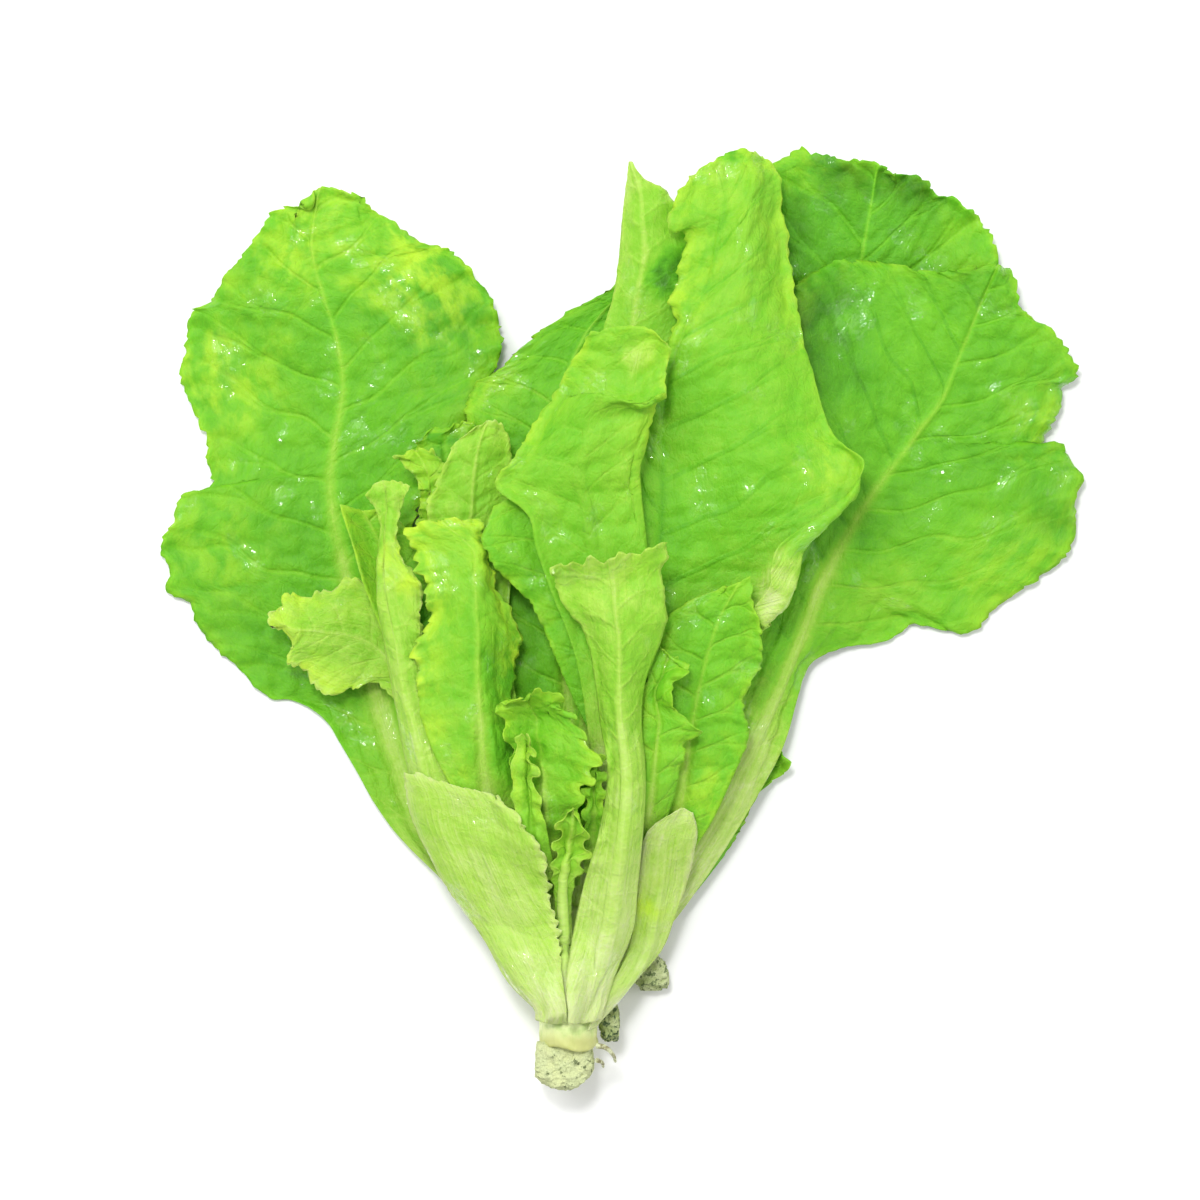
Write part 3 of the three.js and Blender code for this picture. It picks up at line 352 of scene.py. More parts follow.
        pitch=11, yellow=0.25, pale=(50, 0.9), frill=(0.6, 0.1, 0.6), blister=0.7, veins=(0.4, 0.4),
        spacing=0.8, teeth=1.2,
        rows=[
            [(-33, -72, 17), (-28, -73, 17), (-23, -72, 17)],
            [(-39, -45, 21), (-33, -46, 21), (-27, -45, 21)],
            [(-48, -10, 25), (-41, -12, 25), (-34, -10, 24)], [(-56, 18, 27), (-45, 18, 27), (-33, 20, 25)],
            [(-57.5, 33, 28), (-45, 32, 29), (-33, 34, 26)],
            [(-54.5, 43, 29), (-44, 45, 30), (-33.5, 45, 27)],
            [(-50, 52, 30), (-42, 54, 31), (-34.5, 53, 28)],
            [(-44, 56.5, 31), (-40, 58.5, 31), (-36.5, 58, 29)],
        ],
    ),
    "left_wrapper_leaf": dict(
        slot="pale_leaf", group="middle", back=True, seed=14, tone=0.74, rib=(5.5, 2.8), ruffle=(1.6, 9, 3),
        bare=0.35, pitch=13, yellow=0.15, pale=(150, 0.85), channel=0, frill=(0, 0.8, 0.6), rib_column=1.3,
        blister=0.3, veins=(0.5, 0.5), clasps=True, spacing=0.8, teeth=1,
        tint_and_shade_washes=[(-68, 20, 5, 0.03, 0.8), (-62, 12, 5, 0.03, 0.8), (-78, 25, 9, -0.12, 0)],
        rows=[
            [(-27, -114, 18), (-25, -115, 20), (-22, -115, 22), (-19, -115, 24)],
            [(-34, -106, 14), (-30, -108, 17), (-25, -108, 18), (-19, -106, 17)],
            [(-45, -89, 15), (-40, -90, 19), (-34, -90, 20), (-27, -90, 19)],
            [(-55, -72, 18), (-50, -73, 23), (-44, -73, 24), (-36, -72, 22)],
            [(-61, -55, 21), (-57, -56, 26), (-51, -56, 28), (-42, -55, 25)],
            [(-65, -39, 24), (-61, -40, 29), (-55, -40, 30), (-49, -42, 27)],
            [(-68, -22, 25), (-65, -22, 30), (-60, -22, 31), (-54, -24, 29)],
            [(-70.5, -8, 26), (-67.5, -8, 31), (-63, -9, 31), (-58, -10, 29)],
            [(-72.5, 4, 27), (-70, 4, 31), (-66, 2, 31), (-60, 0, 31)],
            [(-73, 14, 28), (-71, 14, 31), (-67, 13, 32), (-60, 11, 33)],
            [(-72.5, 22, 29), (-70.5, 22, 31), (-68.5, 21, 32), (-65, 18, 33)],
            [(-71.8, 28, 30), (-70, 28, 31), (-69, 28, 32), (-67.5, 27, 32)],
            [(-73, 33, 31), (-70, 34, 31), (-68, 34, 32), (-65.5, 33.5, 32)],
            [(-76, 37, 34), (-71.5, 41, 33), (-67, 41.5, 33), (-62.5, 40, 33)],
        ],
    ),
    "inner_front_leaf": dict(
        slot="inner_leaf", group="middle", seed=15, tone=0.64, rib=(4, 1.4), ruffle=(2, 10, 4), bare=0.4,
        pitch=14, yellow=1, pale=(40, 0.86), frill=(1, 0.5, 0.5), blister=0.6, veins=(0.3, 0.3), teeth=1.4,
        spacing=0.8, curl=(0, 0.8),
        # The first and the last wash are painted shade on the right half of the blade.
        tint_and_shade_washes=[
            (-36, -14, 9, -0.25, 0), (-60, 10, 6, 0.05, 0.3), (-61, -16, 5, 0.05, 0.5),
            (-57, -32, 5, 0.05, 0.5), (-52, -44, 6, 0.08, 0.6), (-44, 0, 8, -0.04, 0),
            (-37, -38, 8, -0.2, 0),
        ],
        rows=[
            [(-36, -74, 21), (-31, -75, 21), (-26, -74, 21)],
            [(-44, -61, 25), (-37, -62, 25), (-30, -61, 24)],
            [(-52, -47, 30), (-41, -46, 31), (-32, -47, 28)],
            [(-58, -34, 32), (-42, -30, 35), (-33, -32, 28)],
            [(-61.5, -18, 33), (-43, -14, 37), (-33, -18, 27)],
            [(-60.5, -8, 33), (-43, -4, 38), (-32, -8, 27)],
            [(-58.5, 0, 33), (-43.5, 4, 38), (-31, -3, 28)], [(-59, 9, 33), (-44, 12, 38), (-37, 9, 31)],
            [(-62, 19, 34), (-44.5, 21, 37), (-40, 21, 33)],
            [(-64.5, 27, 35), (-54, 29.5, 36), (-42, 30, 35)],
        ],
    ),
    "centre_lower_leaf": dict(
        slot="inner_leaf", group="middle", seed=16, tone=0.52, rib=(3.5, 1), ruffle=(1.2, 11, 4), bare=0.4,
        pitch=12, yellow=0.3, pale=(40, 0.9), frill=(0.6, 0.1, 0.2), blister=0.5, spacing=0.9, teeth=1.2,
        rib_pale=0.3,
        rows=[
            [(-15, -70, 20), (-9, -71, 20), (-3, -70, 20)], [(-12, -54, 25), (-5, -55, 25), (2, -54, 25)],
            [(-9, -38, 29), (-2, -38, 29), (6, -36, 30)], [(-15, -23, 30), (-4, -20, 31), (9, -20, 31)],
            [(-20.5, -10, 31), (-6, -4, 32), (10, -4, 31)], [(-27, 4, 32), (-10, 10, 33), (8, 12, 31)],
            [(-37, 15, 33), (-16, 22, 34), (6, 26, 31)], [(-41.5, 24, 34), (-22, 33, 35), (4, 38, 31)],
            [(-38, 33, 34), (-24, 41, 35), (-6, 48, 32)],
        ],
    ),
    "centre_front_leaf": dict(
        slot="inner_leaf", group="middle", seed=17, tone=0.62, rib=(3.5, 0.4), ruffle=(1, 12, 4), bare=0.5,
        pitch=12, yellow=0.5, pale=(60, 0.9), frill=(0.8, 0.3, 0.8), blister=1, veins=(0.5, 0.5),
        rib_pale=0, teeth=1.3, rib_column=1.2, easing=4,
        tint_and_shade_washes=[(4, 77, 5, 0.2, 0), (-22, 60, 12, -0.08, 0), (0, 45, 12, 0.06, 0), (-8, 55, 10, 0.04, 0)],
        rows=[
            [(-12, -62, 26), (-6, -63, 26), (0, -62, 26), (1, -62, 26)],
            [(-10, -42, 32), (-5, -42, 32), (3, -42, 32), (4, -42, 32)],
            [(-14, -12, 36), (-6, -15, 36), (4, -15, 36), (6, -15, 36)],
            [(-22, 10, 37), (-12, 12, 37), (5, 14, 37), (7, 15, 36)],
            [(-26, 22, 38), (-14, 24, 39), (3, 27, 39), (6, 29, 36)],
            [(-28, 31, 40), (-15, 32, 41), (2, 35, 40), (5, 38, 37)],
            [(-37, 39.5, 41), (-18, 42, 43), (1, 43, 42), (5, 45, 38)],
            [(-34, 46.5, 41), (-16, 51, 44), (3, 53, 43), (7.5, 54, 39)],
            [(-29, 53, 39), (-14, 59, 44), (4, 63, 44), (9.5, 64, 41)],
            [(-21, 65, 37), (-9, 66.5, 46), (4, 63.5, 50), (11.5, 66.5, 49)],
            [(-18.5, 68.5, 37.5), (-8, 65, 43), (4.5, 62, 45.5), (11.8, 65, 45.5)],
            [(-16, 73, 38), (-6.5, 71.5, 40.5), (4.5, 70, 42), (12, 71.5, 44)],
            [(-12.5, 79, 40.5), (-4.5, 79, 42.5), (4.5, 79.5, 44.5), (12.5, 79, 46)],
            [(-9, 84, 43), (-2, 85, 45), (5, 84.5, 46.5), (11, 82, 47.5)],
        ],
    ),
    "right_inner_leaf": dict(
        slot="inner_leaf", group="middle", seed=18, tone=0.54, rib=(3.5, 1.2), ruffle=(1.4, 12, 5),
        bare=0.4, pitch=11, yellow=0.3, pale=(40, 0.86), frill=(0.1, 0.8, 0.8), blister=0.8, spacing=0.8,
        teeth=1.2,
        tint_and_shade_washes=[(27, -50, 12, 0.04, 0.5), (10, -30, 8, -0.08, 0)],
        rows=[
            [(-1, -84, 17), (4, -85, 17), (9, -84, 17)], [(3, -70, 22), (10, -71, 21), (19, -70, 21)],
            [(6, -56, 28), (16, -56, 27), (26, -59, 26)], [(7, -44, 30), (18, -44, 29), (32, -46, 28)],
            [(7, -32, 31), (20, -31, 31), (36, -35, 29)], [(8, -20, 32), (22, -20, 32), (35, -24, 30)],
            [(9, -8, 33), (25, -8, 34), (40, -12, 31)], [(14, 2, 34), (28, 1, 36), (40, -4, 34)],
            [(22, 7.5, 35), (31, 7, 37), (37, 5, 36)], [(30, 10, 36), (33.5, 11.5, 37), (36, 12, 38)],
        ],
    ),
    "right_ruffle_leaf": dict(
        slot="inner_leaf", group="middle", seed=19, tone=0.58, rib=(2.5, 1), ruffle=(1.8, 9, 3.5),
        bare=0.35, pitch=10, yellow=0.3, pale=(35, 0.86), frill=(0.2, 1, 0.6), blister=0.5, easing=4,
        spacing=0.7, fine=0.2, teeth=0.9, curl=(2, 1.6),
        rows=[
            [(1, -76, 24), (4, -77, 24), (8, -76, 24)], [(2, -65, 28), (6, -65, 28), (11, -64, 28)],
            [(2, -52, 34), (8, -52, 34), (15, -50, 33)], [(3, -40, 36), (9, -39, 36), (17, -39, 35)],
            [(3, -31, 37), (10, -30, 37), (21, -31, 37)], [(4, -24, 37), (9, -22, 37), (14.5, -23, 41)],
            [(6, -17, 38), (11, -15.5, 38), (17, -17, 41)], [(8, -11, 38), (13, -10, 38), (20, -13, 40)],
            [(9.5, -6, 38), (12, -7.5, 39), (16, -10, 41)],
        ],
    ),
    "right_pale_leaf": dict(
        slot="pale_leaf", group="middle", back=True, seed=20, tone=0.88, rib=(4, 1), ruffle=(0.5, 9, 3),
        bare=0.45, pitch=9, yellow=0.1, pale=(22, 0.9), frill=(0.3, 0.3, 0.2), teeth=0.3, veins=(0.2, 0.2),
        blister=0.3, clasps=True, easing=3, spacing=0.8,
        tint_and_shade_washes=[(5, -85, 6, -0.06, 0.9)],
        rows=[
            [(-11, -121, 23), (-8.5, -120, 19), (-7, -118, 15)],
            [(-7, -111, 25), (-2, -111, 22), (1.5, -108.5, 18)],
            [(0, -100, 20), (6, -100, 19), (11, -98, 15)], [(3, -88, 22), (9, -88, 21), (15, -88, 17)],
            [(4, -77, 25), (11, -77, 23), (19, -76, 19)], [(5, -68, 27), (12, -67, 25), (21, -67, 20)],
            [(7, -61.5, 28), (14, -60, 26), (21.5, -61, 21)],
            [(13, -57, 29), (17, -55, 27), (20, -56.5, 23)],
        ],
    ),
    "heart_leaf_inner": dict(
        slot="inner_leaf", group="heart", seed=21, tone=0.58, rib=(2, 0.8), ruffle=(1.2, 6.5, 2.6),
        bare=0.3, pitch=8, yellow=0.3, pale=(18, 0.8), easing=4, spacing=0.55, veins=(0.3, 0.3), teeth=0.5,
        fine=0.15, curl=(3.5, 1.8),
        rows=[
            [(-19, -78, 22), (-16, -79, 22), (-13, -78, 22)],
            [(-20, -62, 27), (-16, -62, 26), (-12, -62, 27)],
            [(-22, -50, 30), (-16, -50, 28), (-10, -50, 30)],
            [(-22, -40, 32), (-16, -40, 30), (-9, -40, 32)],
            [(-20, -34, 34), (-16, -34, 33), (-11, -35, 34)],
        ],
    ),
    "heart_leaf_right": dict(
        slot="inner_leaf", group="heart", seed=22, tone=0.6, rib=(2, 0.8), ruffle=(1.2, 6.5, 2.6), bare=0.3,
        pitch=8, yellow=0.4, pale=(18, 0.8), easing=4, spacing=0.55, veins=(0.3, 0.3), teeth=0.5, fine=0.15,
        curl=(3.5, 1.8),
        rows=[
            [(-12, -74, 26), (-10, -75, 26), (-7, -74, 26)], [(-12, -60, 32), (-9, -60, 31), (-6, -60, 32)],
            [(-13, -50, 34), (-9, -50, 33), (-5, -50, 34)],
            [(-12, -44, 36), (-8.5, -43, 35), (-5, -43, 36)],
            [(-10, -39, 37), (-8, -38, 37), (-5.5, -39, 37)],
        ],
    ),
    "heart_leaf_left": dict(
        slot="inner_leaf", group="heart", seed=23, tone=0.6, rib=(3, 1), ruffle=(2.4, 8, 6.5), bare=0.25,
        pitch=9, yellow=0.5, pale=(20, 0.8), frill=(0.7, 0.8, 1.1), blister=0.6, easing=4, spacing=0.55,
        veins=(0.3, 0.3), teeth=0.5, fine=0.15, curl=(4, 2.4),
        tint_and_shade_washes=[(-25, -38, 4, -0.12, 0), (-15, -44, 4, -0.08, 0), (-30, -24, 4, 0.06, 0)],
        rows=[
            [(-28, -73, 25), (-22, -74, 25), (-14, -73, 25)],
            [(-31, -60, 30), (-24, -60, 29), (-14, -60, 30)],
            [(-33, -46, 33), (-24, -46, 29), (-11, -48, 31)],
            [(-35, -36, 35), (-25, -36, 31), (-7, -40, 36)],
            [(-36, -29, 36), (-26, -28, 33), (-11, -33, 37)],
            [(-38, -23.5, 38), (-28, -22, 36), (-16, -26, 37)],
            [(-35, -21, 40), (-27, -18.5, 39), (-19, -20, 39)],
        ],
    ),
    "heart_leaf_curl": dict(
        slot="inner_leaf", group="heart", seed=24, tone=0.66, rib=(1.2, 0.2), ruffle=(1.6, 7, 3), bare=0.3,
        pitch=8, yellow=0.5, pale=(18, 0.8), easing=3, spacing=0.55, veins=(0.2, 0.2),
        frill=(0.2, 1.1, 0.9), teeth=0.5, fine=0.15, curl=(3, 1.7), rib_pale=0.2,
        rows=[
            [(-28, -76, 28), (-25, -77, 28), (-20, -76, 28)],
            [(-31, -64, 36), (-27, -64, 35), (-22, -65, 35)],
            [(-33, -52, 38), (-28, -52, 36), (-24, -53, 37)],
            [(-33.5, -42, 40), (-28.5, -42, 38), (-25, -43, 39)],
            [(-32, -34, 41), (-28.5, -32.5, 40), (-25.5, -35, 41)],
        ],
    ),
    "heart_leaf_front": dict(
        slot="pale_leaf", group="heart", back=True, seed=25, tone=0.66, rib=(3, 1.8), ruffle=(1, 6.5, 2.4),
        bare=0.5, pitch=8, yellow=0.3, pale=(48, 0.9), clasps=True, frill=(1, 1, 1), easing=3, spacing=0.55,
        teeth=0.5, fine=0.15, curl=(3, 1.7),
        rows=[
            [(-20, -114, 24), (-17.5, -115, 25), (-15, -114, 24)],
            [(-20.5, -104, 24), (-17.5, -105, 25), (-14.5, -104, 24)],
            [(-20.5, -90, 25), (-18, -90, 27), (-15.5, -90, 25)],
            [(-20.5, -76, 29), (-18, -76, 31), (-15, -76, 29)],
            [(-20, -66, 33), (-16, -66, 33), (-11, -66, 33)],
            [(-20, -58, 35), (-15, -57, 34), (-11, -59, 35)],
            [(-18, -54, 37), (-14.5, -53, 36), (-12, -55.5, 37)],
        ],
    ),
    "left_front_leaf": dict(
        slot="pale_leaf", group="front", back=True, seed=26, tone=0.83, rib=(7, 0.2), ruffle=(1, 8, 3),
        bare=0.12, pitch=12, yellow=0.1, pale=(40, 0.86), channel=0, blister=0.3, frill=(0, 1, 0.3),
        teeth=1.6, veins=(0.1, 0.1), clasps=True, easing=2, spacing=0.8,
        rows=[
            [(-26, -117.5, 17), (-21, -118.5, 26.5), (-17, -118, 27.5)],
            [(-27, -113, 18), (-21, -114, 26), (-17, -113, 27.5)],
            [(-35, -103, 15), (-26, -104, 24), (-18.5, -103, 27)],
            [(-46, -88, 16), (-33, -90, 26), (-21, -91, 29)],
            [(-56, -73, 18), (-40, -75, 29), (-21.5, -79, 31)],
            [(-62, -60, 21), (-45, -63, 31), (-23.5, -70, 34)],
            [(-64, -50, 23), (-47, -53, 31), (-30, -59, 35)],
            [(-64.5, -45, 24), (-50, -48, 30), (-37, -51, 35)],
        ],
    ),
    "front_stem_leaf": dict(
        slot="pale_leaf", group="front", back=True, seed=27, tone=0.7, rib=(5, 2.4), ruffle=(2.2, 9, 4),
        bare=0.78, pitch=11, yellow=0.2, pale=(118, 0.89), channel=0, frill=(0.8, 0.5, 1.5), teeth=1,
        clasps=True, veins=(0.5, 0.5), blister=0.5, easing=3, fine=0.25, curl=(1.5, 1.6), spacing=0.8,
        ridges=0.06,
        tint_and_shade_washes=[(-4, 8, 14, 0.06, 0.1), (-12, -110, 8, 0.08, 0), (-4, -75, 10, 0.03, 0.1)],
        rows=[
            [(-16.5, -118, 27.5), (-12, -118.5, 27.5), (-7, -117.5, 20)],
            [(-16.5, -114, 27.5), (-11, -115, 28), (-5.5, -113, 22)],
            [(-17, -106, 26), (-9.5, -107, 29), (-3, -105, 22)],
            [(-15, -92, 27), (-4.5, -91, 32), (2.5, -91, 27)],
            [(-12, -78, 31), (-2.5, -77, 37), (4, -77, 31)],
            [(-8, -64, 35), (-0.5, -64, 42), (5.2, -64, 37)],
            [(-5.5, -52, 37), (0.5, -52, 44), (6, -52, 39)], [(-5, -42, 38), (0.5, -42, 45), (6, -42, 40)],
            [(-7, -30, 40), (-1, -30, 46), (5, -30, 41)], [(-8.5, -18, 41), (-1.5, -18, 48), (6, -18, 42)],
            [(-11, -5, 43), (-1.5, -6, 50), (10.5, -6, 43)], [(-15.5, 3, 45), (-2.5, 3, 51), (12.5, 3, 45)],
            [(-20, 10, 47), (-3, 11, 50), (11, 13, 47)], [(-20.5, 16, 50), (-4, 18, 51.5), (13, 24, 50)],
        ],
    ),
}

# Each root: its node, half its thickness, and the points that it runs through.
ROOTS = (
    (
        "root_strand_long", 0.85,
        ((-8, -125.4, 25), (-5.5, -125.9, 26.4), (-3.4, -128, 25), (-2.6, -130.4, 21)),
    ),
    (
        "root_strand_short", 0.75,
        ((-8, -130, 22), (-6.6, -130.8, 20), (-6.2, -132.4, 16)),
    ),
)


# --- Smooth random patterns ------------------------------------------------------------------------


def scatter(x, y, seed):
    """A fixed random number from 0 to 1 for each whole-number place."""
    return np.modf(np.abs(np.sin(x * 127.1 + y * 311.7 + seed * 74.7) * 43758.5453))[0]


def ease(low, high, value):
    share = np.clip((value - low) / (high - low), 0, 1)
    return share * share * (3 - 2 * share)


def cloud(x, y, seed):
    """Smooth noise from -1 to 1, one hill or hollow to a unit."""
    column, row = np.floor(x), np.floor(y)
    fx, fy = ease(0, 1, x - column), ease(0, 1, y - row)
    low = scatter(column, row, seed) * (1 - fx) + scatter(column + 1, row, seed) * fx
    high = scatter(column, row + 1, seed) * (1 - fx) + scatter(column + 1, row + 1, seed) * fx
    return 2 * (low * (1 - fy) + high * fy) - 1


def cushions(x, y, seed):
    """Rounded cells, one to a unit: 0 along the seams between them and 1 on top."""
    column, row = np.floor(x), np.floor(y)
    first = np.full(x.shape, 9.0)
    second = first.copy()
    for dx in (-1, 0, 1):
        for dy in (-1, 0, 1):
            seed_x = column + dx + 0.15 + 0.7 * scatter(column + dx, row + dy, seed)
            seed_y = row + dy + 0.15 + 0.7 * scatter(column + dx, row + dy, seed + 5)
            distance = np.hypot(x - seed_x, y - seed_y)
            second = np.minimum(second, np.maximum(first, distance))
            first = np.minimum(first, distance)
    return np.sqrt(ease(0, 0.7, second - first))


# --- Leaf sheets -----------------------------------------------------------------------------------


def through(points, places):
    """A smooth curve through the points along the first axis, read at the places: 0 is the first point."""
    last = len(points) - 1
    padded = np.concatenate([[2 * points[0] - points[1]], points, [2 * points[-1] - points[-2]]])
    k = np.clip(np.floor(places).astype(int), 0, last - 1)
    f = (places - k).reshape((-1,) + (1,) * (points.ndim - 1))
    a, b, c, d = (padded[k + step] for step in range(4))
    return b + 0.5 * f * (c - a + f * (2 * a - 5 * b + 4 * c - d + f * (3 * (b - c) + d - a)))


def lengths(points, axis):
    """Distance along the grid from its first row or column to each point."""
    steps = np.linalg.norm(np.diff(points, axis=axis), axis=2)
    start = np.zeros_like(np.take(points[..., 0], [0], axis=axis))
    return np.concatenate([start, np.cumsum(steps, axis=axis)], axis=axis)


def sheet_through(net, spacing):
    """The net's smooth sheet as a grid of points about as far apart as the spacing."""
    rows, columns = net.shape[0] - 1, net.shape[1] - 1
    dense = np.linspace(0, rows, 12 * rows + 1)
    travelled = lengths(through(net, dense), 0).mean(1)
    along = int(np.clip(travelled[-1] / (0.8 * spacing), 24, 330))
    net = through(net, np.interp(np.linspace(0, travelled[-1], along + 1), travelled, dense))
    width = lengths(net, 1)[:, -1]
    across = int(np.clip(np.percentile(width, 85) / (1.1 * spacing), 18, 150))
    across += across % 2
    flipped = net.transpose(1, 0, 2)
    return through(flipped, np.linspace(0, columns, across + 1)).transpose(1, 0, 2)


def rows_of(lines, rows=48):
    """A net from lines that run from foot to tip. Points with a fourth number are level with each other."""
    marks = [[0] + [k for k, point in enumerate(line) if len(point) > 3] + [len(line) - 1] for line in lines]
    net = []
    share = None
    for line, joints in zip(lines, marks):
        points = np.array([point[:3] for point in line], float)
        dense = np.linspace(0, len(points) - 1, 16 * (len(points) - 1) + 1)
        curve = through(points, dense)
        travelled = np.concatenate([[0], np.cumsum(np.linalg.norm(np.diff(curve, axis=0), axis=1))])
        at_joints = np.interp(joints, dense, travelled)
        if share is None:
            share = at_joints / at_joints[-1]
        wanted = np.interp(np.linspace(0, 1, rows + 1), share, at_joints)
        net.append(through(points, np.interp(wanted, travelled, dense)))
    return np.stack(net, 1)


def frame_of(sheet):
    """Unit vectors along the leaf, across it and out of its upper face, at each point."""
    along, across = np.gradient(sheet, axis=0), np.gradient(sheet, axis=1)
    up = np.cross(across, along)
    return [v / np.maximum(np.linalg.norm(v, axis=2, keepdims=True), 1e-9) for v in (along, across, up)]


def margin_of(sheet, frills):
    """Each point's distance to the nearest margin, the running length there, the way out, and the frill."""
    down, over = lengths(sheet, 0), lengths(sheet, 1)
    to_left, to_right, to_tip = over, over[:, -1:] - over, down[-1:, :] - down
    run_left = np.broadcast_to(down[:, :1], over.shape)
    run_tip = down[-1, 0] + np.broadcast_to(over[-1:, :], over.shape)
    run_right = np.broadcast_to(down[-1, 0] + over[-1, -1] + down[-1, -1] - down[:, -1:], over.shape)
    distance = np.minimum(np.minimum(to_left, to_right), to_tip)
    nearest = np.argmin(np.stack([to_left, to_right, to_tip]), axis=0)
    run = np.choose(nearest, [run_left, run_right, run_tip])
    along, across, _ = frame_of(sheet)
    weights = [np.exp(-d / 2.5)[..., None] for d in (to_left, to_right, to_tip)]
    out = -across * weights[0] + across * weights[1] + along * weights[2]
    out /= np.maximum(np.linalg.norm(out, axis=2, keepdims=True), 1e-9)
    near = [np.exp(-d / 4) + 1e-9 for d in (to_left, to_right, to_tip)]
    frill = sum(n * f for n, f in zip(near, frills)) / sum(near)
    return distance, run, out, frill


class Relief:
    """A height map of all the leaves laid so far, and of the crown that the top leaves clasp."""

    def __init__(self):
        side = int(2 * HALF / CELL)
        self.height = np.zeros((side, side))

    def cells(self, points):
        index = np.clip(((points[..., :2] + HALF) / CELL).astype(int), 1, self.height.shape[0] - 2)
        return index[..., 0], index[..., 1]

    def under(self, points):
        """The highest thing under each point, its neighbouring cells counted."""
        x, y = self.cells(points)
        near = [self.height[x + dx, y + dy] for dx in (-1, 0, 1) for dy in (-1, 0, 1)]
        return np.max(near, axis=0)

    def add(self, points, top):
        np.maximum.at(self.height, self.cells(points), top)


def spread(field, reach, best):
    """Each value becomes the greatest, or the mean, of those within reach along the grid."""
    for axis in (0, 1):
        size = min(reach, field.shape[axis] // 2)
        padded = np.pad(field, [(size, size) if a == axis else (0, 0) for a in (0, 1)], mode="edge")
        views = [np.take(padded, range(k, k + field.shape[axis]), axis=axis) for k in range(2 * size + 1)]
        field = np.max(views, axis=0) if best else np.mean(views, axis=0)
    return field


RELIEF = Relief()


def crown_profile(y):
    """Half the crown's width and half its depth at a place along it: it flares into the leaf feet."""
    flare = ease(-119, -105, y)
    return 8.7 + 5.6 * flare, 10.6 + 1.2 * flare


def lay_crown():
    """Adds the crown's upper side to the relief, a little low at its foot, for the top leaves to lie on."""
    across, y = np.meshgrid(np.arange(-15, 15.1, 0.5), np.arange(-124, -100, 0.5), indexing="ij")
    half_width, half_depth = crown_profile(y)
    bulge = np.sqrt(np.clip(1 - (across / half_width) ** 2, 0, 1))
    sunk = 1.0 * (1 - ease(-122, -112, y))
    top = np.where(bulge > 0, CROWN_Z + bulge * half_depth - sunk, 0)
    RELIEF.add(np.stack([across + CROWN_X, y, top], 2), top)


def rest_on_relief(settings, spec, points, below, above):
    """Lifts the points, so that nothing of the leaf is below what has been laid, and adds the leaf to it."""
    points[..., 2] = np.maximum(points[..., 2], below + FLOOR_GAP)
    need = RELIEF.under(points) + settings.gap / MM - (points[..., 2] - below)
    need = np.maximum(need, 0)
    points[..., 2] += spread(spread(need, spec["easing"], True), spec["easing"], False)
    RELIEF.add(points, points[..., 2] + above)


def paint_tint_and_shade(spec, points, tone, yellow):
    """Adds the leaf's patches of colour, some of them painted shade and painted light, each with a ragged edge.
    """
    for x, y, size, lighter, yellower in spec["tint_and_shade_washes"]:
        away = np.hypot(points[..., 0] - x, points[..., 1] - y) / size
        ragged = 1 + 0.4 * cloud(points[..., 0] / (0.35 * size), points[..., 1] / (0.35 * size), spec["seed"])
        tint_and_shade_patch = np.exp(-((away * ragged) ** 2))
        tone += lighter * tint_and_shade_patch
        yellow += yellower * tint_and_shade_patch


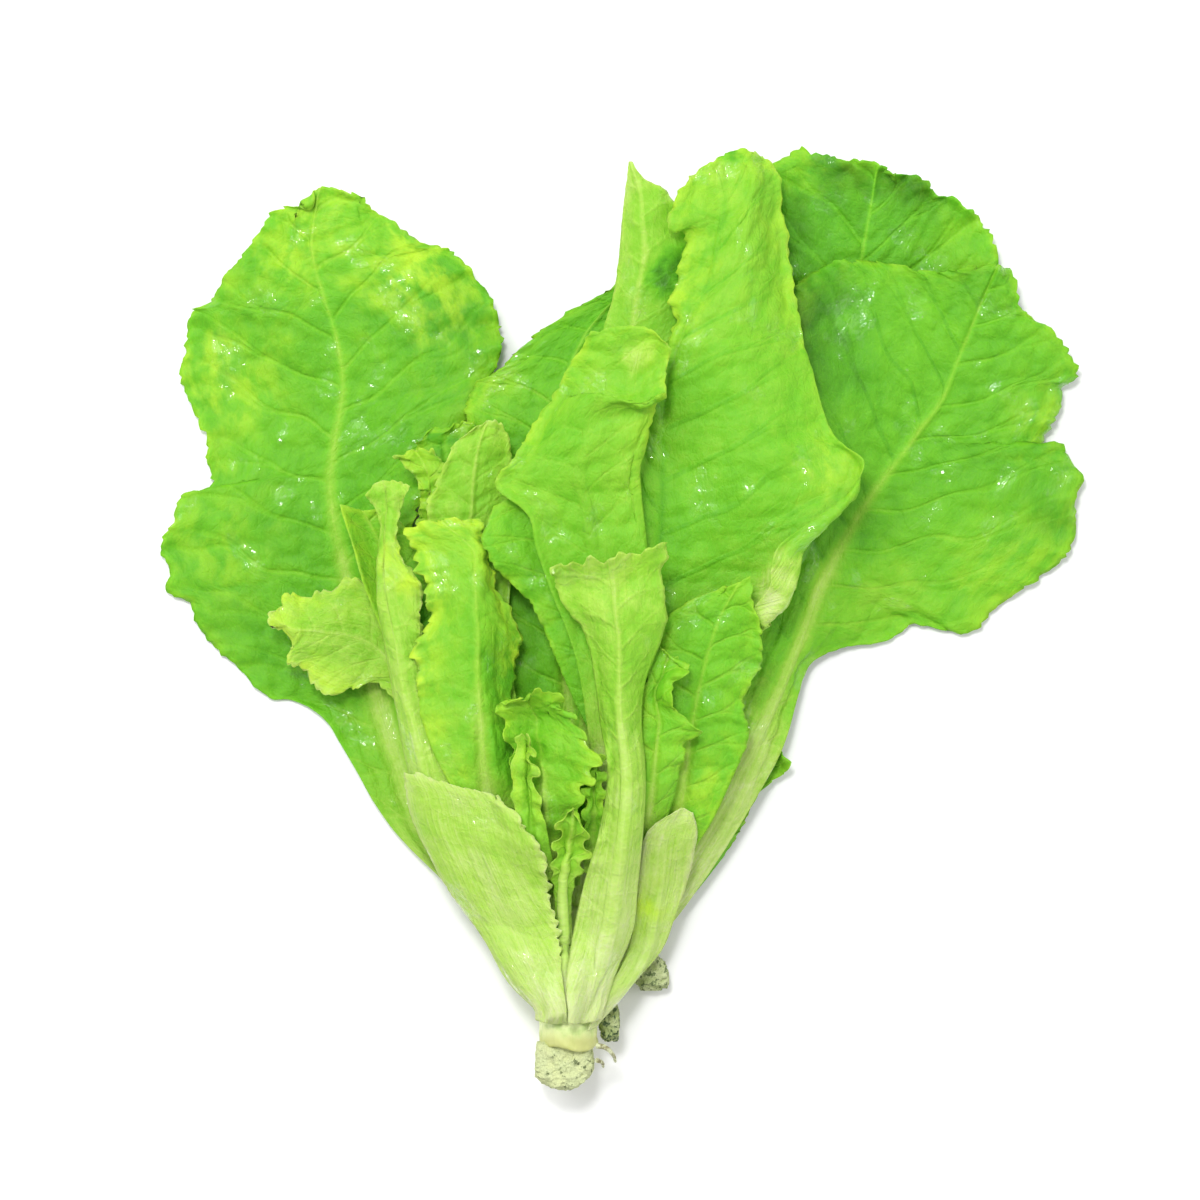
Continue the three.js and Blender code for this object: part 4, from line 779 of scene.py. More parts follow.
def lay_leaf(settings, spec):
    """Works out one leaf's points and patterns, and lays it on the leaves before it."""
    if spec["clasps"]:
        lay_crown()
    net = rows_of(spec["lines"]) if "lines" in spec else np.array(spec["rows"], float)
    last_column = net.shape[1] - 1
    rib_column = last_column / 2 if spec["rib_column"] is None else spec["rib_column"]
    sheet = sheet_through(net, spec["spacing"])
    seed = spec["seed"]
    middle = int(round(rib_column / last_column * (sheet.shape[1] - 1)))
    run_across = lengths(sheet, 1)
    across = run_across - run_across[:, middle : middle + 1]
    along = np.broadcast_to(lengths(sheet, 0)[:, middle : middle + 1], across.shape)
    length = along[-1, 0]
    distance, run, out, frill = margin_of(sheet, spec["frill"])
    side = np.where(across < 0, 0.0, 1.0)
    half = np.where(across < 0, -across[:, :1], across[:, -1:])
    share = np.clip(np.abs(across) / np.maximum(half, 1e-6), 0, 1)
    _, _, up = frame_of(sheet)

    # The midrib and its pale stem narrow towards the tip.
    wide, tall = spec["rib"]
    going = along / length
    rib_half = np.maximum(wide * (1 - 0.93 * ease(0, 1, going) ** 0.7), 0.5)
    ribness = np.exp(-((across / rib_half) ** 2))

    # Side veins leave the midrib at an angle and bend towards the margin; phase counts them.
    bent = 0.9 * np.abs(across) ** 0.86
    wander = 0.16 * cloud(along / 17 + side * 9, across / 11, seed)
    phase = (along - bent) / spec["pitch"] + 0.5 * side + wander
    to_vein = np.abs(np.modf(np.abs(phase) + 0.5)[0] - 0.5)
    fork = 0.2 * ease(0.4, 0.95, share)
    vein = 1 - ease(0.02, 0.10, np.abs(to_vein - fork))
    veins = np.where(across < 0, *spec["veins"])
    vein_show = veins * (1 - ribness)

    # Blisters between the veins, and ruffles that grow towards the margin.
    open_blade = (1 - ribness) * ease(0.1, 0.45, going) * ease(0, 3, distance)
    coarse = cushions(across / 9.5 + 40, (along - 0.6 * bent) / 11, seed)
    fine = cushions(across / 4.3 + 90, along / 4.8, seed + 2)
    lift = settings.blister * spec["blister"] * open_blade * (1.0 * coarse + 0.45 * fine - 0.8)
    lift += settings.blister * spec["blister"] * open_blade * 3.2 * cloud(across / 27, along / 33, seed + 3)
    high, wave, reach = spec["ruffle"]
    grown = ease(spec["bare"], spec["bare"] + 0.3, going)
    along_edge = 0 * run  # noise that changes only along the margin
    beat = run / wave + 0.55 * cloud(run / (2.2 * wave), along_edge, seed + 4)
    strong = 0.65 + 0.35 * cloud(run / (1.6 * wave), along_edge + 7, seed + 5)
    ruffle = strong * np.sin(2 * np.pi * beat) * np.exp(-distance / reach)
    ruffle += spec["fine"] * np.sin(2 * np.pi * (2.7 * beat + 0.3)) * np.exp(-distance / (0.4 * reach))
    lift += settings.ruffle * high * grown * frill * ruffle

    # Long low ridges run up the stem. Veins stand out on the back, and the midrib is a channel on the face.
    fleshy = np.exp(-((across / (1.9 * rib_half + 1)) ** 4)) * (1 - ease(0.35, 0.75, going))
    turns = 2 * np.pi * across / (0.75 * rib_half + 1.2) + cloud(along / 30, 0 * along, seed)
    lift += spec["ridges"] * tall * fleshy * np.cos(turns)
    vein_height = 0.6 if spec["back"] else -1
    lift += vein_height * 0.45 * np.abs(veins) * vein * open_blade * (1.1 - share)
    if not spec["back"]:
        lift -= spec["channel"] * tall * ribness * (1 - 0.6 * going)

    # The margin: broad uneven lobes, small lobes on them, and fine teeth, each reaching less far in.
    lobe = 1.1 * cloud(run / 15, along_edge, seed + 6) * np.exp(-distance / 10)
    lobe += 1.3 * (np.abs(cloud(run / 6.5, along_edge + 3, seed + 7)) ** 0.7 - 0.4) * np.exp(-distance / 4)
    beat_of_teeth = np.abs(run / 3.4 + 0.8 * cloud(run / 7, along_edge + 5, seed + 8))
    tooth = 1 - np.modf(beat_of_teeth)[0] ** 1.5
    size_of_tooth = 0.15 + 1.3 * scatter(np.floor(beat_of_teeth), along_edge, seed) ** 2
    lobe += 1.25 * (tooth - 0.5) * size_of_tooth * np.exp(-distance / 1.6)
    jag = spec["teeth"] * lobe * (0.25 + 0.75 * np.clip(frill, 0, 1))
    # A curly margin stands up, winds from side to side, and leans along itself until its waves near loops.
    edge_way = np.cross(out, up)
    near_edge = np.exp(-distance / reach) * grown * frill
    rise, swing = spec["curl"]
    swing = swing * (0.75 + 0.6 * cloud(run / 9, along_edge + 11, seed + 9))
    lean = (0.25 * high * strong - 0.32 * swing) * np.sin(4 * np.pi * beat) * near_edge
    jag = grown * jag + swing * np.sin(2 * np.pi * beat) * near_edge
    lift += rise * near_edge
    points = sheet + up * lift[..., None] + out * jag[..., None] + edge_way * lean[..., None]

    # Thickness: the blade's everywhere and more along the rib, built up on the leaf's back.
    blade = settings.thickness / MM
    thin_edge = 0.4 + 0.6 * ease(0, 3, distance)
    thick = blade * thin_edge + tall * ribness * (1 - 0.75 * ease(0, 0.9, going))
    if spec["clasps"]:
        thick = np.maximum(thick * ease(-2, 14, along), 0.18)
    below, above = (0 * thick, thick) if spec["back"] else (thick, 0 * thick)
    rest_on_relief(settings, spec, points, below, above)

    # Colour: the foot and the ribs are pale, the margins yellower, and the washes lighten or darken by place,
    # some of them as painted shade and painted light.
    tone = np.full(across.shape, float(spec["tone"]))
    yellow = spec["yellow"] * np.exp(-distance / 6) * grown
    paint_tint_and_shade(spec, points, tone, yellow)
    # Painted highlight: the very edge of a grown margin is lighter, as a lit edge looks.
    tone += 0.10 * np.exp(-distance / 1.1) * grown
    tone += min(spec["rib_pale"], 0) * np.exp(-((across / 0.8) ** 2)) * ease(3, 12, distance)
    pale_length, pale_tone = spec["pale"]
    pale_foot = 1 - ease(0.25 * pale_length, pale_length, along + 0.8 * np.abs(across))
    pale_rib = spec["rib_pale"] * ribness * (1 - 0.5 * ease(0.5 * pale_length, length, along))
    pale = np.maximum(pale_foot, pale_rib)
    tone = tone * (1 - pale) + pale_tone * pale
    if spec["clasps"]:
        tone += 0.12 * (1 - ease(0, 20, along))
    # The third number is painted shade: it is highest along the seams between the blisters, where the leaf
    # dips.
    tint_and_shade = np.stack([tone, np.clip(yellow, 0, 1), (1 - coarse) * open_blade], 2)
    return {
        "points": points,
        "thick": thick,
        "leaf_place": np.stack([across, along, distance], 2),
        "leaf_veins": np.stack([phase, share, vein_show], 2),
        "leaf_tint_and_shade": tint_and_shade,
    }


# --- Meshes ----------------------------------------------------------------------------------------


def take(context, name):
    """The object that a primitive operator has just added, named."""
    piece = context.active_object
    piece.name = name
    piece.data.name = name
    return piece


def start():
    """Deselects everything, so that the next operator works on its own piece alone."""
    bpy.ops.object.select_all(action="DESELECT")


def store(mesh, name, values):
    """Keeps three numbers for each point of the mesh, for its material to read."""
    layer = mesh.attributes.new(name, "FLOAT_VECTOR", "POINT")
    layer.data.foreach_set("vector", np.ascontiguousarray(values, np.float32).ravel())


def finish_piece(piece, node):
    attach(piece, "root")
    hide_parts(node)


def add_leaf(context, name):
    """One leaf from its net: a grid shaped point by point, then given its thickness."""
    spec = {**USUAL_LEAF, **LEAVES[name]}
    made = lay_leaf(context.scene.lettuce_leaves, spec)
    points = made["points"]
    rows, columns = points.shape[:2]
    start()
    bpy.ops.mesh.primitive_grid_add(x_subdivisions=columns - 1, y_subdivisions=rows - 1, size=2)
    piece = take(context, name + "_skin")
    mesh = piece.data
    flat = np.empty(len(mesh.vertices) * 3)
    mesh.vertices.foreach_get("co", flat)
    flat = flat.reshape(-1, 3)
    column = np.rint((flat[:, 0] + 1) / 2 * (columns - 1)).astype(int)
    row = np.rint((flat[:, 1] + 1) / 2 * (rows - 1)).astype(int)
    place = points[row, column] * MM + np.array(ORIGIN)
    mesh.vertices.foreach_set("co", place.ravel())
    for layer in ("leaf_place", "leaf_veins", "leaf_tint_and_shade"):
        store(mesh, layer, made[layer][row, column])
    thick = made["thick"][row, column]
    group = piece.vertex_groups.new(name="thickness")
    steps = np.rint(thick / thick.max() * THICKNESS_STEPS).astype(int)
    for step in np.unique(steps):
        group.add(np.flatnonzero(steps == step).tolist(), step / THICKNESS_STEPS, "REPLACE")
    wall = piece.modifiers.new("Blade", "SOLIDIFY")
    wall.thickness = thick.max() * MM
    wall.offset = 1 if spec["back"] else -1
    wall.vertex_group = group.name
    wall.use_even_offset = False
    bpy.ops.object.modifier_apply(modifier=wall.name)
    piece.vertex_groups.clear()
    bpy.ops.object.shade_smooth()
    mesh.update()
    mesh.materials.append(leaf_material(context.scene.lettuce_colours, spec["slot"], spec["back"]))
    finish_piece(piece, name)


# --- Finishes --------------------------------------------------------------------------------------


class Nodes:
    """Short ways to add and join the nodes of one material."""

    def __init__(self, name):
        self.material = bpy.data.materials.new(name)
        self.material.use_nodes = True
        self.tree = self.material.node_tree
        self.shader = self.tree.nodes["Principled BSDF"]

    def join(self, value, socket):
        if isinstance(value, bpy.types.NodeSocket):
            self.tree.links.new(value, socket)
        else:
            socket.default_value = value

    def add(self, kind, inputs=None, output=0, **settings):
        node = self.tree.nodes.new(kind)
        for key, value in settings.items():
            setattr(node, key, value)
        for key, value in (inputs or {}).items():
            self.join(value, node.inputs[key])
        return node.outputs[output]

    def math(self, operation, a, b=0.0, c=0.0):
        return self.add("ShaderNodeMath", {0: a, 1: b, 2: c}, operation=operation)

    def total(self, value, parts):
        """The value and the parts, each times its own share."""
        for part, share in parts:
            value = self.math("MULTIPLY_ADD", part, share, value)
        return value

    def between(self, value, low, high, to_low=0.0, to_high=1.0):
        return self.add(
            "ShaderNodeMapRange",
            {"Value": value, "From Min": low, "From Max": high, "To Min": to_low, "To Max": to_high},
            interpolation_type="SMOOTHSTEP",
        )

    def mix(self, share, a, b):
        node = self.tree.nodes.new("ShaderNodeMix")
        node.data_type = "RGBA"
        self.join(share, node.inputs[0])
        self.join(a, node.inputs[6])
        self.join(b, node.inputs[7])
        return node.outputs[2]

    def ramp(self, value, stops):
        node = self.tree.nodes.new("ShaderNodeValToRGB")
        band = node.color_ramp
        while len(band.elements) < len(stops):
            band.elements.new(0.5)
        for element, (place, rgb) in zip(band.elements, stops):
            element.position = place
            element.color = (*rgb, 1)
        self.join(value, node.inputs[0])
        return node.outputs[0]

    def attribute(self, name):
        node = self.tree.nodes.new("ShaderNodeAttribute")
        node.attribute_name = name
        split = self.tree.nodes.new("ShaderNodeSeparateXYZ")
        self.tree.links.new(node.outputs["Vector"], split.inputs[0])
        return node.outputs["Vector"], *split.outputs

    def noise(self, vector, scale, detail=2.0, rough=0.5):
        inputs = {"Vector": vector, "Scale": scale, "Detail": detail, "Roughness": rough}
        return self.add("ShaderNodeTexNoise", inputs)

    def seams(self, vector, scale):
        inputs = {"Vector": vector, "Scale": scale}
        return self.add("ShaderNodeTexVoronoi", inputs, feature="DISTANCE_TO_EDGE")

    def set(self, **levels):
        """Sets the shader's own sockets: an underscore in a name stands for a space."""
        for socket, level in levels.items():
            self.shader.inputs[socket.replace("_", " ")].default_value = level

    def bump(self, strength, distance, height):
        return self.add("ShaderNodeBump", {"Strength": strength, "Distance": distance, "Height": height})


def leaf_material(colours, slot, back):
    """Leaf skin: its green, veins at three sizes, mottling, yellow margins, painted shade in the blister seams
    and a waxy, uneven shine.
    """
    name = slot + ("_back" if back else "_face")
    if name in bpy.data.materials:
        return bpy.data.materials[name]
    n = Nodes(name)
    place = n.attribute("leaf_place")[0]
    _, phase, share, shows = n.attribute("leaf_veins")
    _, tone, yellow, seam_shade = n.attribute("leaf_tint_and_shade")

    # Side veins: thin lines at whole phases, each forking in two near the margin.
    cell = n.math("FRACT", n.math("ADD", phase, 0.5))
    off_centre = n.math("ABSOLUTE", n.math("SUBTRACT", cell, 0.5))
    to_line = n.math("ABSOLUTE", n.math("SUBTRACT", off_centre, n.between(share, 0.4, 0.95, 0.0, 0.2)))
    fades = n.math("MULTIPLY", shows, n.between(share, 0.2, 1.0, 1.0, 0.35))
    vein = n.math("MULTIPLY", n.between(to_line, 0.015, 0.075, 1.0, 0.0), fades)

    # Fibres along the pale stem, and the net of small veins, in the leaf's own millimetres.
    fleshy = n.between(tone, 0.66, 0.84)
    fibres = n.noise(n.add("ShaderNodeMapping", {"Vector": place, "Scale": (1.1, 0.03, 0.0)}), 1.0, 3.0, 0.6)
    streak = n.math("MULTIPLY", n.math("SUBTRACT", fibres, 0.5), fleshy)
    drift = n.add("ShaderNodeTexNoise", {"Vector": place, "Scale": 0.25, "Detail": 1.0}, output=1)
    wavy = n.add("ShaderNodeVectorMath", {0: place, 1: drift}, operation="ADD")
    mesh_big = n.between(n.seams(wavy, 0.21), 0.0, 0.09, 1.0, 0.0)
    mesh_fine = n.between(n.seams(wavy, 0.55), 0.0, 0.11, 1.0, 0.0)

    cloudy = n.math("SUBTRACT", n.noise(place, 0.035, 3.0, 0.55), 0.5)
    mottle = n.math("SUBTRACT", n.noise(place, 0.16, 3.0, 0.6), 0.5)
    fleck = n.math("SUBTRACT", n.noise(place, 0.9, 2.0, 0.6), 0.5)
    # The last share is painted shade that darkens the seams between the blisters.
    level = n.total(tone, (
        (cloudy, 0.22), (mottle, 0.2), (fleck, 0.09), (vein, 0.08 if back else 0.09), (streak, 0.22),
        (mesh_big, 0.018), (mesh_fine, 0.01), (seam_shade, -0.03),
    ))
    green = n.ramp(level, TONES)
    sunny = n.math("MULTIPLY", yellow, n.between(n.noise(place, 0.12, 3.0, 0.6), 0.35, 0.65))
    skin = n.mix(n.math("MINIMUM", sunny, 1.0), green, (*colours.margin, 1))
    n.join(skin, n.shader.inputs["Base Color"])

    # Wet and waxy: broad patches shine more, and the shine breaks up over the small veins.
    wet = n.between(n.noise(place, 0.07, 2.0, 0.5), 0.58, 0.64)
    n.join(wet, n.shader.inputs["Coat Weight"])
    ripple = n.add("ShaderNodeTexNoise", {"Vector": place, "Scale": 0.28, "Detail": 0.0, "Distortion": 1.0})
    film = n.bump(1.0, 0.0009, ripple)
    n.join(film, n.shader.inputs["Coat Normal"])
    rough = n.math("SUBTRACT", 0.55, n.math("MULTIPLY", wet, 0.12))
    rough = n.math("MULTIPLY_ADD", fleck, 0.12, rough)
    n.join(rough, n.shader.inputs["Roughness"])
    n.set(
        Specular_IOR_Level=0.2, Coat_Roughness=0.03, Coat_IOR=1.33, Subsurface_Weight=0.18,
        Subsurface_Radius=(0.6, 1.0, 0.15), Subsurface_Scale=0.0015,
    )

    # Small veins stand out on a leaf's back and sink into its face.
    height = n.math("MULTIPLY", mesh_big, 0.16 if back else -0.16)
    height = n.total(height, (
        (mesh_fine, 0.06 if back else -0.08), (vein, 0.8 if back else -0.7), (streak, 1.6),
        (n.noise(place, 0.75, 3.0, 0.6), 0.8), (n.noise(place, 0.22, 2.0, 0.5), 1.8),
    ))
    bump = n.bump(0.7, 0.0005, height)
    n.join(bump, n.shader.inputs["Normal"])
    return n.material


def stem_material(colours):
    """The stem above the roots: cream green, with fine fibres along it, and browner towards the root."""
    n = Nodes("crown_stem")
    spot = n.add("ShaderNodeTexCoord", output=3)
    fibres = n.add("ShaderNodeMapping", {"Vector": spot, "Scale": (900, 120, 900)})
    grain = n.noise(fibres, 1.0, 4.0, 0.6)
    patches = n.noise(spot, 180.0, 3.0, 0.6)
    tone = n.mix(n.between(patches, 0.4, 0.7), (*colours.crown, 1), (0.52, 0.68, 0.24, 1))
    tone = n.mix(n.between(grain, 0.5, 0.75, 0.0, 0.3), tone, (0.40, 0.50, 0.17, 1))
    height = n.add("ShaderNodeSeparateXYZ", {0: spot}, output=1)
    ragged = n.math("MULTIPLY_ADD", patches, 0.004, height)
    low = n.between(ragged, CROWN_LOW.y + 0.001, CROWN_LOW.y + 0.0055, 1.0, 0.0)
    tone = n.mix(n.math("MULTIPLY", low, 0.75), tone, (0.46, 0.46, 0.14, 1))
    n.join(tone, n.shader.inputs["Base Color"])
    n.join(n.between(patches, 0.3, 0.7, 0.42, 0.6), n.shader.inputs["Roughness"])
    n.set(
        Specular_IOR_Level=0.3, Subsurface_Weight=0.15, Subsurface_Radius=(1.0, 1.0, 0.4),
        Subsurface_Scale=0.002,
    )
    bump = n.bump(0.6, 0.0004, grain)
    n.join(bump, n.shader.inputs["Normal"])
    return n.material


def plug_material(colours, name, base, dark, clean):
    """Damp growing medium: a felt of pale fibres with dark crumbs and a greenish bloom."""
    n = Nodes(name)
    spot = n.add("ShaderNodeTexCoord", output=3)
    crumbs = n.noise(spot, 520.0, 4.0, 0.65)
    patches = n.noise(spot, 260.0, 3.0, 0.6)
    felt = n.seams(spot, 1100.0)
    tone = n.mix(n.between(patches, 0.35, 0.65), (*base, 1), (*colours.plug, 1))
    tone = n.mix(n.between(crumbs, clean, clean + 0.06), tone, (*dark, 1))
    tone = n.mix(n.between(felt, 0.0, 0.1, 0.2, 0.0), tone, (*dark, 1))
    n.join(tone, n.shader.inputs["Base Color"])
    n.join(n.between(crumbs, 0.3, 0.7, 0.75, 0.95), n.shader.inputs["Roughness"])
    n.set(Specular_IOR_Level=0.2)
    height = n.math("MULTIPLY_ADD", patches, 1.2, crumbs)
    bump = n.bump(0.9, 0.0008, height)
    n.join(bump, n.shader.inputs["Normal"])
    return n.material


def root_material():
    """A thin root: straw brown, darker in patches."""
    n = Nodes("root_strand")
    spot = n.add("ShaderNodeTexCoord", output=3)
    patches = n.noise(spot, 700.0, 4.0, 0.6)
    tone = n.mix(n.between(patches, 0.4, 0.62), (0.62, 0.66, 0.40, 1), (0.22, 0.20, 0.09, 1))
    n.join(tone, n.shader.inputs["Base Color"])
    n.join(n.between(patches, 0.3, 0.7, 0.5, 0.8), n.shader.inputs["Roughness"])
    bump = n.bump(0.6, 0.0003, patches)
    n.join(bump, n.shader.inputs["Normal"])
    return n.material


def floor_material():
    """A plain pale sheet with a faint tooth."""
    n = Nodes("pale_floor")
    spot = n.add("ShaderNodeTexCoord", output=3)
    tooth = n.noise(spot, 60.0, 3.0, 0.5)
    n.join(n.mix(tooth, (0.93, 0.93, 0.93, 1), (0.95, 0.95, 0.95, 1)), n.shader.inputs["Base Color"])
    n.set(Roughness=0.9, Specular_IOR_Level=0.1)
    return n.material


# --- The stem, the plug and the roots --------------------------------------------------------------

# Each plane that cuts a lump to shape has a direction and a distance, as a share of the lump's half size.
SIX_SIDES = (
    ((-1, 0.05, 0), 0.95), ((1, 0.1, 0), 0.92), ((0, 1, 0), 0.95), ((0, 0, 1), 0.9), ((0, 0, -1), 0.92),
)
PLUG_PLANES = SIX_SIDES + (
    ((-0.2, -1, 0.1), 0.95), ((-0.8, -0.7, 0.1), 1.05), ((0.75, -0.7, 0), 0.86), ((0.7, 0.1, 0.8), 1.1),
    ((-0.6, 0.2, -0.9), 1.1),
)
BIT_PLANES = SIX_SIDES + (
    ((0.1, -1, 0.2), 0.92), ((-0.9, -0.8, 0.3), 0.85), ((0.7, 0.8, -0.2), 0.95), ((0.3, -0.4, 0.9), 0.9),
)
EDGE_POWER = 9  # how crisply a lump's planes meet


def worked_sphere(context, name, shape, detail=96):
    """A closed lump: a sphere whose every point the shape function moves, in metres."""
    start()
    bpy.ops.mesh.primitive_uv_sphere_add(segments=detail, ring_count=detail // 2, radius=1)
    piece = take(context, name)
    mesh = piece.data
    flat = np.empty(len(mesh.vertices) * 3)
    mesh.vertices.foreach_get("co", flat)
    mesh.vertices.foreach_set("co", shape(flat.reshape(-1, 3)).ravel())
    bpy.ops.object.mode_set(mode="EDIT")
    bpy.ops.mesh.select_all(action="SELECT")
    bpy.ops.mesh.normals_make_consistent(inside=False)
    bpy.ops.object.mode_set(mode="OBJECT")
    bpy.ops.object.shade_smooth()
    return piece


def crown_shape(unit):
    """The stem lies along Y: it flares into the leaf feet, has rings of scars, and narrows to the root."""
    turn = np.arctan2(unit[:, 2], unit[:, 0])
    reach = np.hypot(unit[:, 0], unit[:, 2])
    # Points near the sphere's Y poles make the rounded ends, the rest the side.
    end = np.minimum(reach / 0.6, 1) ** 0.7
    y = CROWN_FOOT + (CROWN_HEAD - CROWN_FOOT) * (np.clip(unit[:, 1] * 1.2, -1, 1) + 1) / 2
    half_width, half_depth = crown_profile(y)
    scars = 1 - 0.03 * np.abs(np.sin(0.75 * y + 1.4 * np.sin(2 * turn))) + 0.03 * cloud(3 * turn, 0.3 * y, 3)
    x = CROWN_X + np.cos(turn) * half_width * end * scars
    z = CROWN_Z + np.sin(turn) * half_depth * end * scars
    return np.stack([x, y + 0.8 * np.cos(3 * turn) * end, z], 1) * MM + np.array(ORIGIN)


def lump_shape(node, seed, planes, rough):
    """A crumbly block that fills the node's box: planes cut a ball to shape."""

    def shape(unit):
        low, high = (np.array(corner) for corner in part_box(node))
        middle, half = (low + high) / 2, (high - low) / 2
        reach = np.zeros(len(unit))
        for direction, share in planes:
            normal = np.array(direction) / np.linalg.norm(direction)
            reach += np.maximum(unit @ normal / share, 0) ** EDGE_POWER
        block = unit / np.maximum(reach, 1e-9)[:, None] ** (1 / EDGE_POWER)
        crumb = cloud(4 * unit[:, 0] + 9, 4 * unit[:, 1] + 3 * unit[:, 2], seed)
        crumb = crumb + 0.6 * cloud(11 * unit[:, 0], 11 * unit[:, 1] + 8 * unit[:, 2], seed + 1)
        crumb = crumb + 0.4 * cloud(23 * unit[:, 0] + 5, 23 * unit[:, 1] + 19 * unit[:, 2], seed + 2)
        return middle + np.clip(block * (0.95 + rough * crumb[:, None]), -1, 1) * half

    return shape


def add_strand(context, name, points, thickness):
    """A root: a smooth path through the points, in millimetres, thinning towards its end."""
    start()
    bpy.ops.curve.primitive_bezier_curve_add(radius=1)
    piece = take(context, name)
    curve = piece.data
    spline = curve.splines[0]
    spline.bezier_points.add(len(points) - len(spline.bezier_points))
    for step, (point, knot) in enumerate(zip(points, spline.bezier_points)):
        knot.co = Vector(point) * MM + ORIGIN
        knot.handle_left_type = knot.handle_right_type = "AUTO"
        knot.radius = 1 - 0.5 * step / (len(points) - 1)
    curve.bevel_depth = thickness * MM
    curve.bevel_resolution = 5
    curve.resolution_u = 10
    curve.use_fill_caps = True
    bpy.ops.object.convert(target="MESH")
    piece = take(context, name)
    bpy.ops.object.shade_smooth()
    return piece


# --- Operators -------------------------------------------------------------------------------------


def leaf_names(group):
    return [name for name, spec in LEAVES.items() if spec["group"] == group]


class LETTUCE_OT_outer_leaves(bpy.types.Operator):
    """Adds the broad leaves that lie on the table"""

    bl_idname = "lettuce.outer_leaves"
    bl_label = "Outer Leaves"
    bl_options = {"REGISTER", "UNDO"}

    def execute(self, context):
        RELIEF.height[:] = 0
        for name in leaf_names("outer"):
            add_leaf(context, name)
        return {"FINISHED"}


class LETTUCE_OT_middle_leaves(bpy.types.Operator):
    """Adds the upright leaves, laid on the outer ones"""

    bl_idname = "lettuce.middle_leaves"
    bl_label = "Middle Leaves"
    bl_options = {"REGISTER", "UNDO"}

    def execute(self, context):
        for name in leaf_names("middle"):
            add_leaf(context, name)
        return {"FINISHED"}


class LETTUCE_OT_heart_leaves(bpy.types.Operator):
    """Adds the small frilled leaves of the heart"""

    bl_idname = "lettuce.heart_leaves"
    bl_label = "Heart Leaves"
    bl_options = {"REGISTER", "UNDO"}

    def execute(self, context):
        for name in leaf_names("heart"):
            add_leaf(context, name)
        return {"FINISHED"}


class LETTUCE_OT_front_leaves(bpy.types.Operator):
    """Adds the two pale leaves on top of the head"""

    bl_idname = "lettuce.front_leaves"
    bl_label = "Front Leaves"
    bl_options = {"REGISTER", "UNDO"}

    def execute(self, context):
        lay_crown()
        for name in leaf_names("front"):
            add_leaf(context, name)
        return {"FINISHED"}


class LETTUCE_OT_crown(bpy.types.Operator):
    """Adds the short stem that every leaf leaves"""

    bl_idname = "lettuce.crown"
    bl_label = "Crown"
    bl_options = {"REGISTER", "UNDO"}

    def execute(self, context):
        piece = worked_sphere(context, "crown_stem", crown_shape, 128)
        piece.data.materials.append(stem_material(context.scene.lettuce_colours))
        finish_piece(piece, "crown")
        return {"FINISHED"}


class LETTUCE_OT_plug(bpy.types.Operator):
    """Adds the seedling plug round the roots, and the two bits broken off it"""

    bl_idname = "lettuce.plug"
    bl_label = "Seedling Plug"
    bl_options = {"REGISTER", "UNDO"}

    def execute(self, context):
        colours = context.scene.lettuce_colours
        # Each lump: node, seed, planes, roughness, detail, base and crumb colours, and where crumbs start.
        lumps = (
            ("root_plug", 31, PLUG_PLANES, 0.07, 160, (0.60, 0.65, 0.33), (0.13, 0.16, 0.07), 0.585),
            ("plug_fragment_side", 32, BIT_PLANES, 0.12, 96, (0.36, 0.44, 0.17), (0.09, 0.14, 0.06), 0.50),
            ("plug_fragment_upper", 33, BIT_PLANES, 0.12, 96, (0.38, 0.46, 0.18), (0.14, 0.19, 0.08), 0.54),
        )
        for node, seed, planes, rough, detail, base, crumbs, clean in lumps:
            piece = worked_sphere(context, node + "_felt", lump_shape(node, seed, planes, rough), detail)
            piece.data.materials.append(plug_material(colours, node + "_felt", base, crumbs, clean))
            finish_piece(piece, node)
        return {"FINISHED"}


class LETTUCE_OT_roots(bpy.types.Operator):
    """Adds the two loose roots beside the plug"""

    bl_idname = "lettuce.roots"
    bl_label = "Roots"
    bl_options = {"REGISTER", "UNDO"}

    def execute(self, context):
        finish = root_material()
        for node, thickness, points in ROOTS:
            piece = add_strand(context, node + "_fibre", points, thickness)
            piece.data.materials.append(finish)
            finish_piece(piece, node)
        return {"FINISHED"}


LAMPS = (
    ("key_lamp", (-0.5, 0.6, 1.2), 1.2, 12),
    ("fill_lamp", (0.9, 0.1, 0.9), 0.8, 3),
    ("spark_lamp", (-0.16, 0.42, 1.4), 0.24, 8.5),
)  # name, place, width and watts
HEAD_MIDDLE = (0, 0, 0.02)
CAMERA_PLACE = (-0.00675, 0.00675, 1.6)


def aim(piece, place, target):
    piece.location = place
    piece.rotation_euler = (Vector(target) - Vector(place)).to_track_quat("-Z", "Y").to_euler()


def add_lamp(context, name, place, size, watts):
    start()
    bpy.ops.object.light_add(type="AREA")
    lamp = take(context, name)
    lamp.data.shape = "DISK"
    lamp.data.size = size
    lamp.data.energy = watts
    aim(lamp, place, HEAD_MIDDLE)


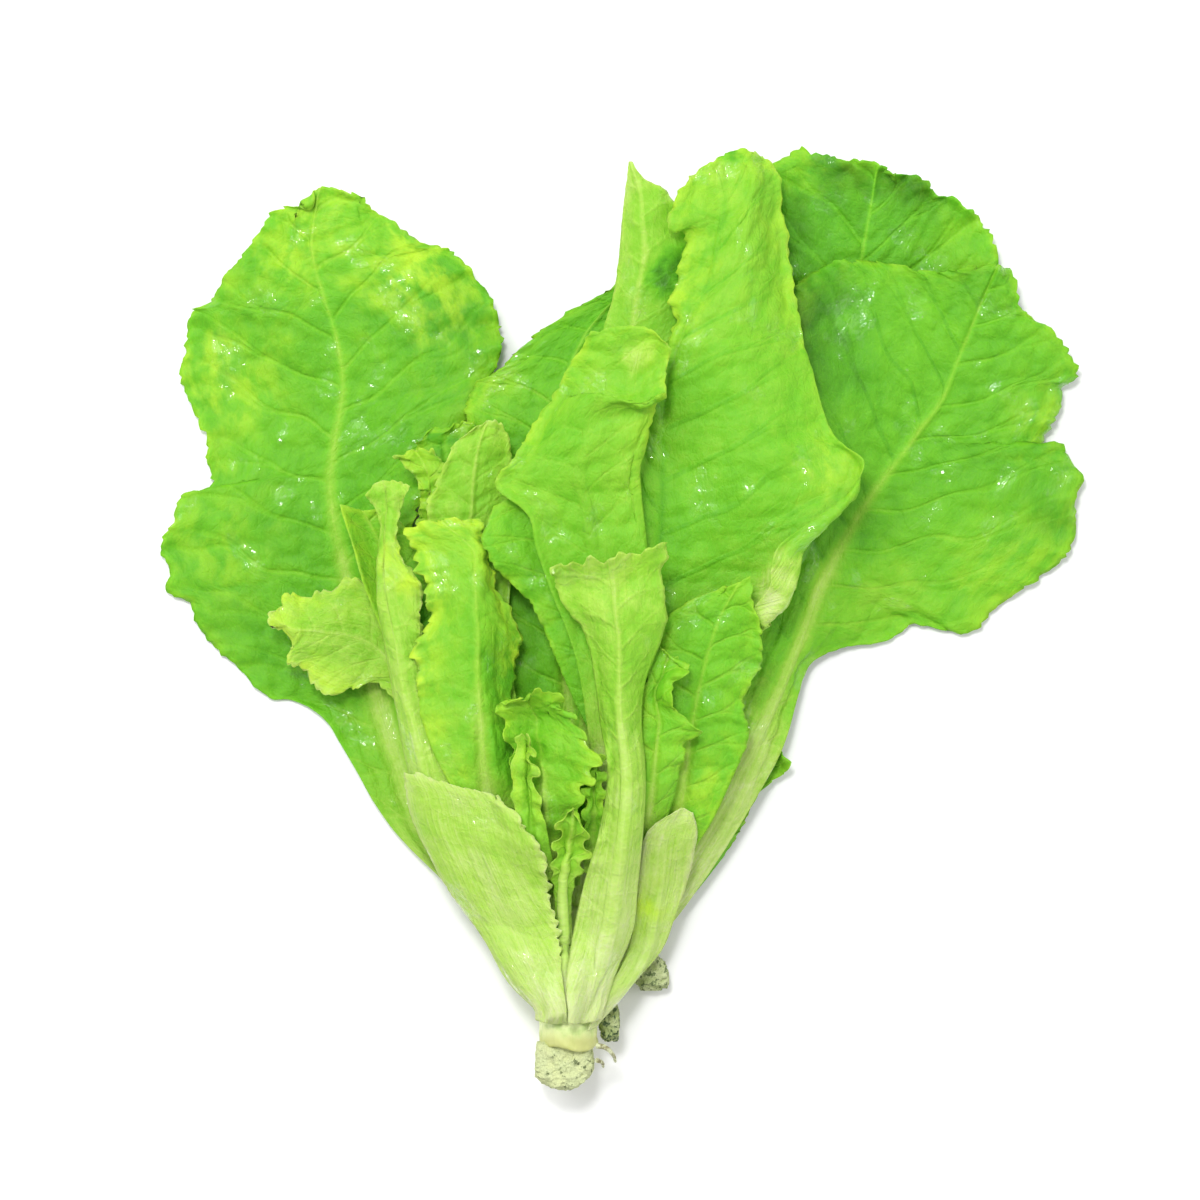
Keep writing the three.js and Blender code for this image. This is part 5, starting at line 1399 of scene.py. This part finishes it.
class LETTUCE_OT_stage(bpy.types.Operator):
    """Adds the pale floor, the soft lamps, the sky and the camera straight above"""

    bl_idname = "lettuce.stage"
    bl_label = "Stage"
    bl_options = {"REGISTER", "UNDO"}

    def execute(self, context):
        start()
        bpy.ops.mesh.primitive_plane_add(size=8)
        floor = take(context, "floor")
        bpy.ops.object.mode_set(mode="EDIT")
        bpy.ops.mesh.subdivide(number_cuts=4)
        bpy.ops.object.mode_set(mode="OBJECT")
        floor.data.materials.append(floor_material())
        for lamp in LAMPS:
            add_lamp(context, *lamp)
        world = bpy.data.worlds.new("studio")
        world.use_nodes = True
        sky = world.node_tree.nodes["Background"]
        sky.inputs["Color"].default_value = (1, 1, 1, 1)
        sky.inputs["Strength"].default_value = 0.62
        context.scene.world = world
        context.scene.view_settings.view_transform = "Standard"
        start()
        bpy.ops.object.camera_add()
        camera = take(context, "camera_above")
        camera.data.lens = 160
        camera.data.sensor_width = 36
        camera.data.clip_end = 20
        camera.location = CAMERA_PLACE
        camera.rotation_euler = (0, 0, 0)
        context.scene.camera = camera
        return {"FINISHED"}


class LETTUCE_PT_build(bpy.types.Panel):
    """Lists the steps that build the lettuce"""

    bl_idname = "LETTUCE_PT_build"
    bl_label = "Leaf Lettuce"
    bl_space_type = "VIEW_3D"
    bl_region_type = "UI"
    bl_category = "Lettuce"

    def draw(self, context):
        layout = self.layout
        for settings in (context.scene.lettuce_leaves, context.scene.lettuce_colours):
            for key in settings.bl_rna.properties.keys():
                if key not in ("rna_type", "name"):
                    layout.prop(settings, key)
        for step in STEPS:
            layout.operator(step.bl_idname)


STEPS = (
    LETTUCE_OT_outer_leaves,
    LETTUCE_OT_middle_leaves,
    LETTUCE_OT_heart_leaves,
    LETTUCE_OT_front_leaves,
    LETTUCE_OT_crown,
    LETTUCE_OT_plug,
    LETTUCE_OT_roots,
    LETTUCE_OT_stage,
)
CLASSES = (LeafSizes, LeafColours, *STEPS, LETTUCE_PT_build)


def register():
    for cls in CLASSES:
        bpy.utils.register_class(cls)
    bpy.types.Scene.lettuce_leaves = PointerProperty(type=LeafSizes)
    bpy.types.Scene.lettuce_colours = PointerProperty(type=LeafColours)


def unregister():
    del bpy.types.Scene.lettuce_colours
    del bpy.types.Scene.lettuce_leaves
    for cls in reversed(CLASSES):
        bpy.utils.unregister_class(cls)


def main():
    register()
    bpy.ops.lettuce.outer_leaves()
    bpy.ops.lettuce.middle_leaves()
    bpy.ops.lettuce.heart_leaves()
    bpy.ops.lettuce.front_leaves()
    bpy.ops.lettuce.crown()
    bpy.ops.lettuce.plug()
    bpy.ops.lettuce.roots()
    bpy.ops.lettuce.stage()
    bpy.context.view_layer.update()


if __name__ == "__main__":
    main()
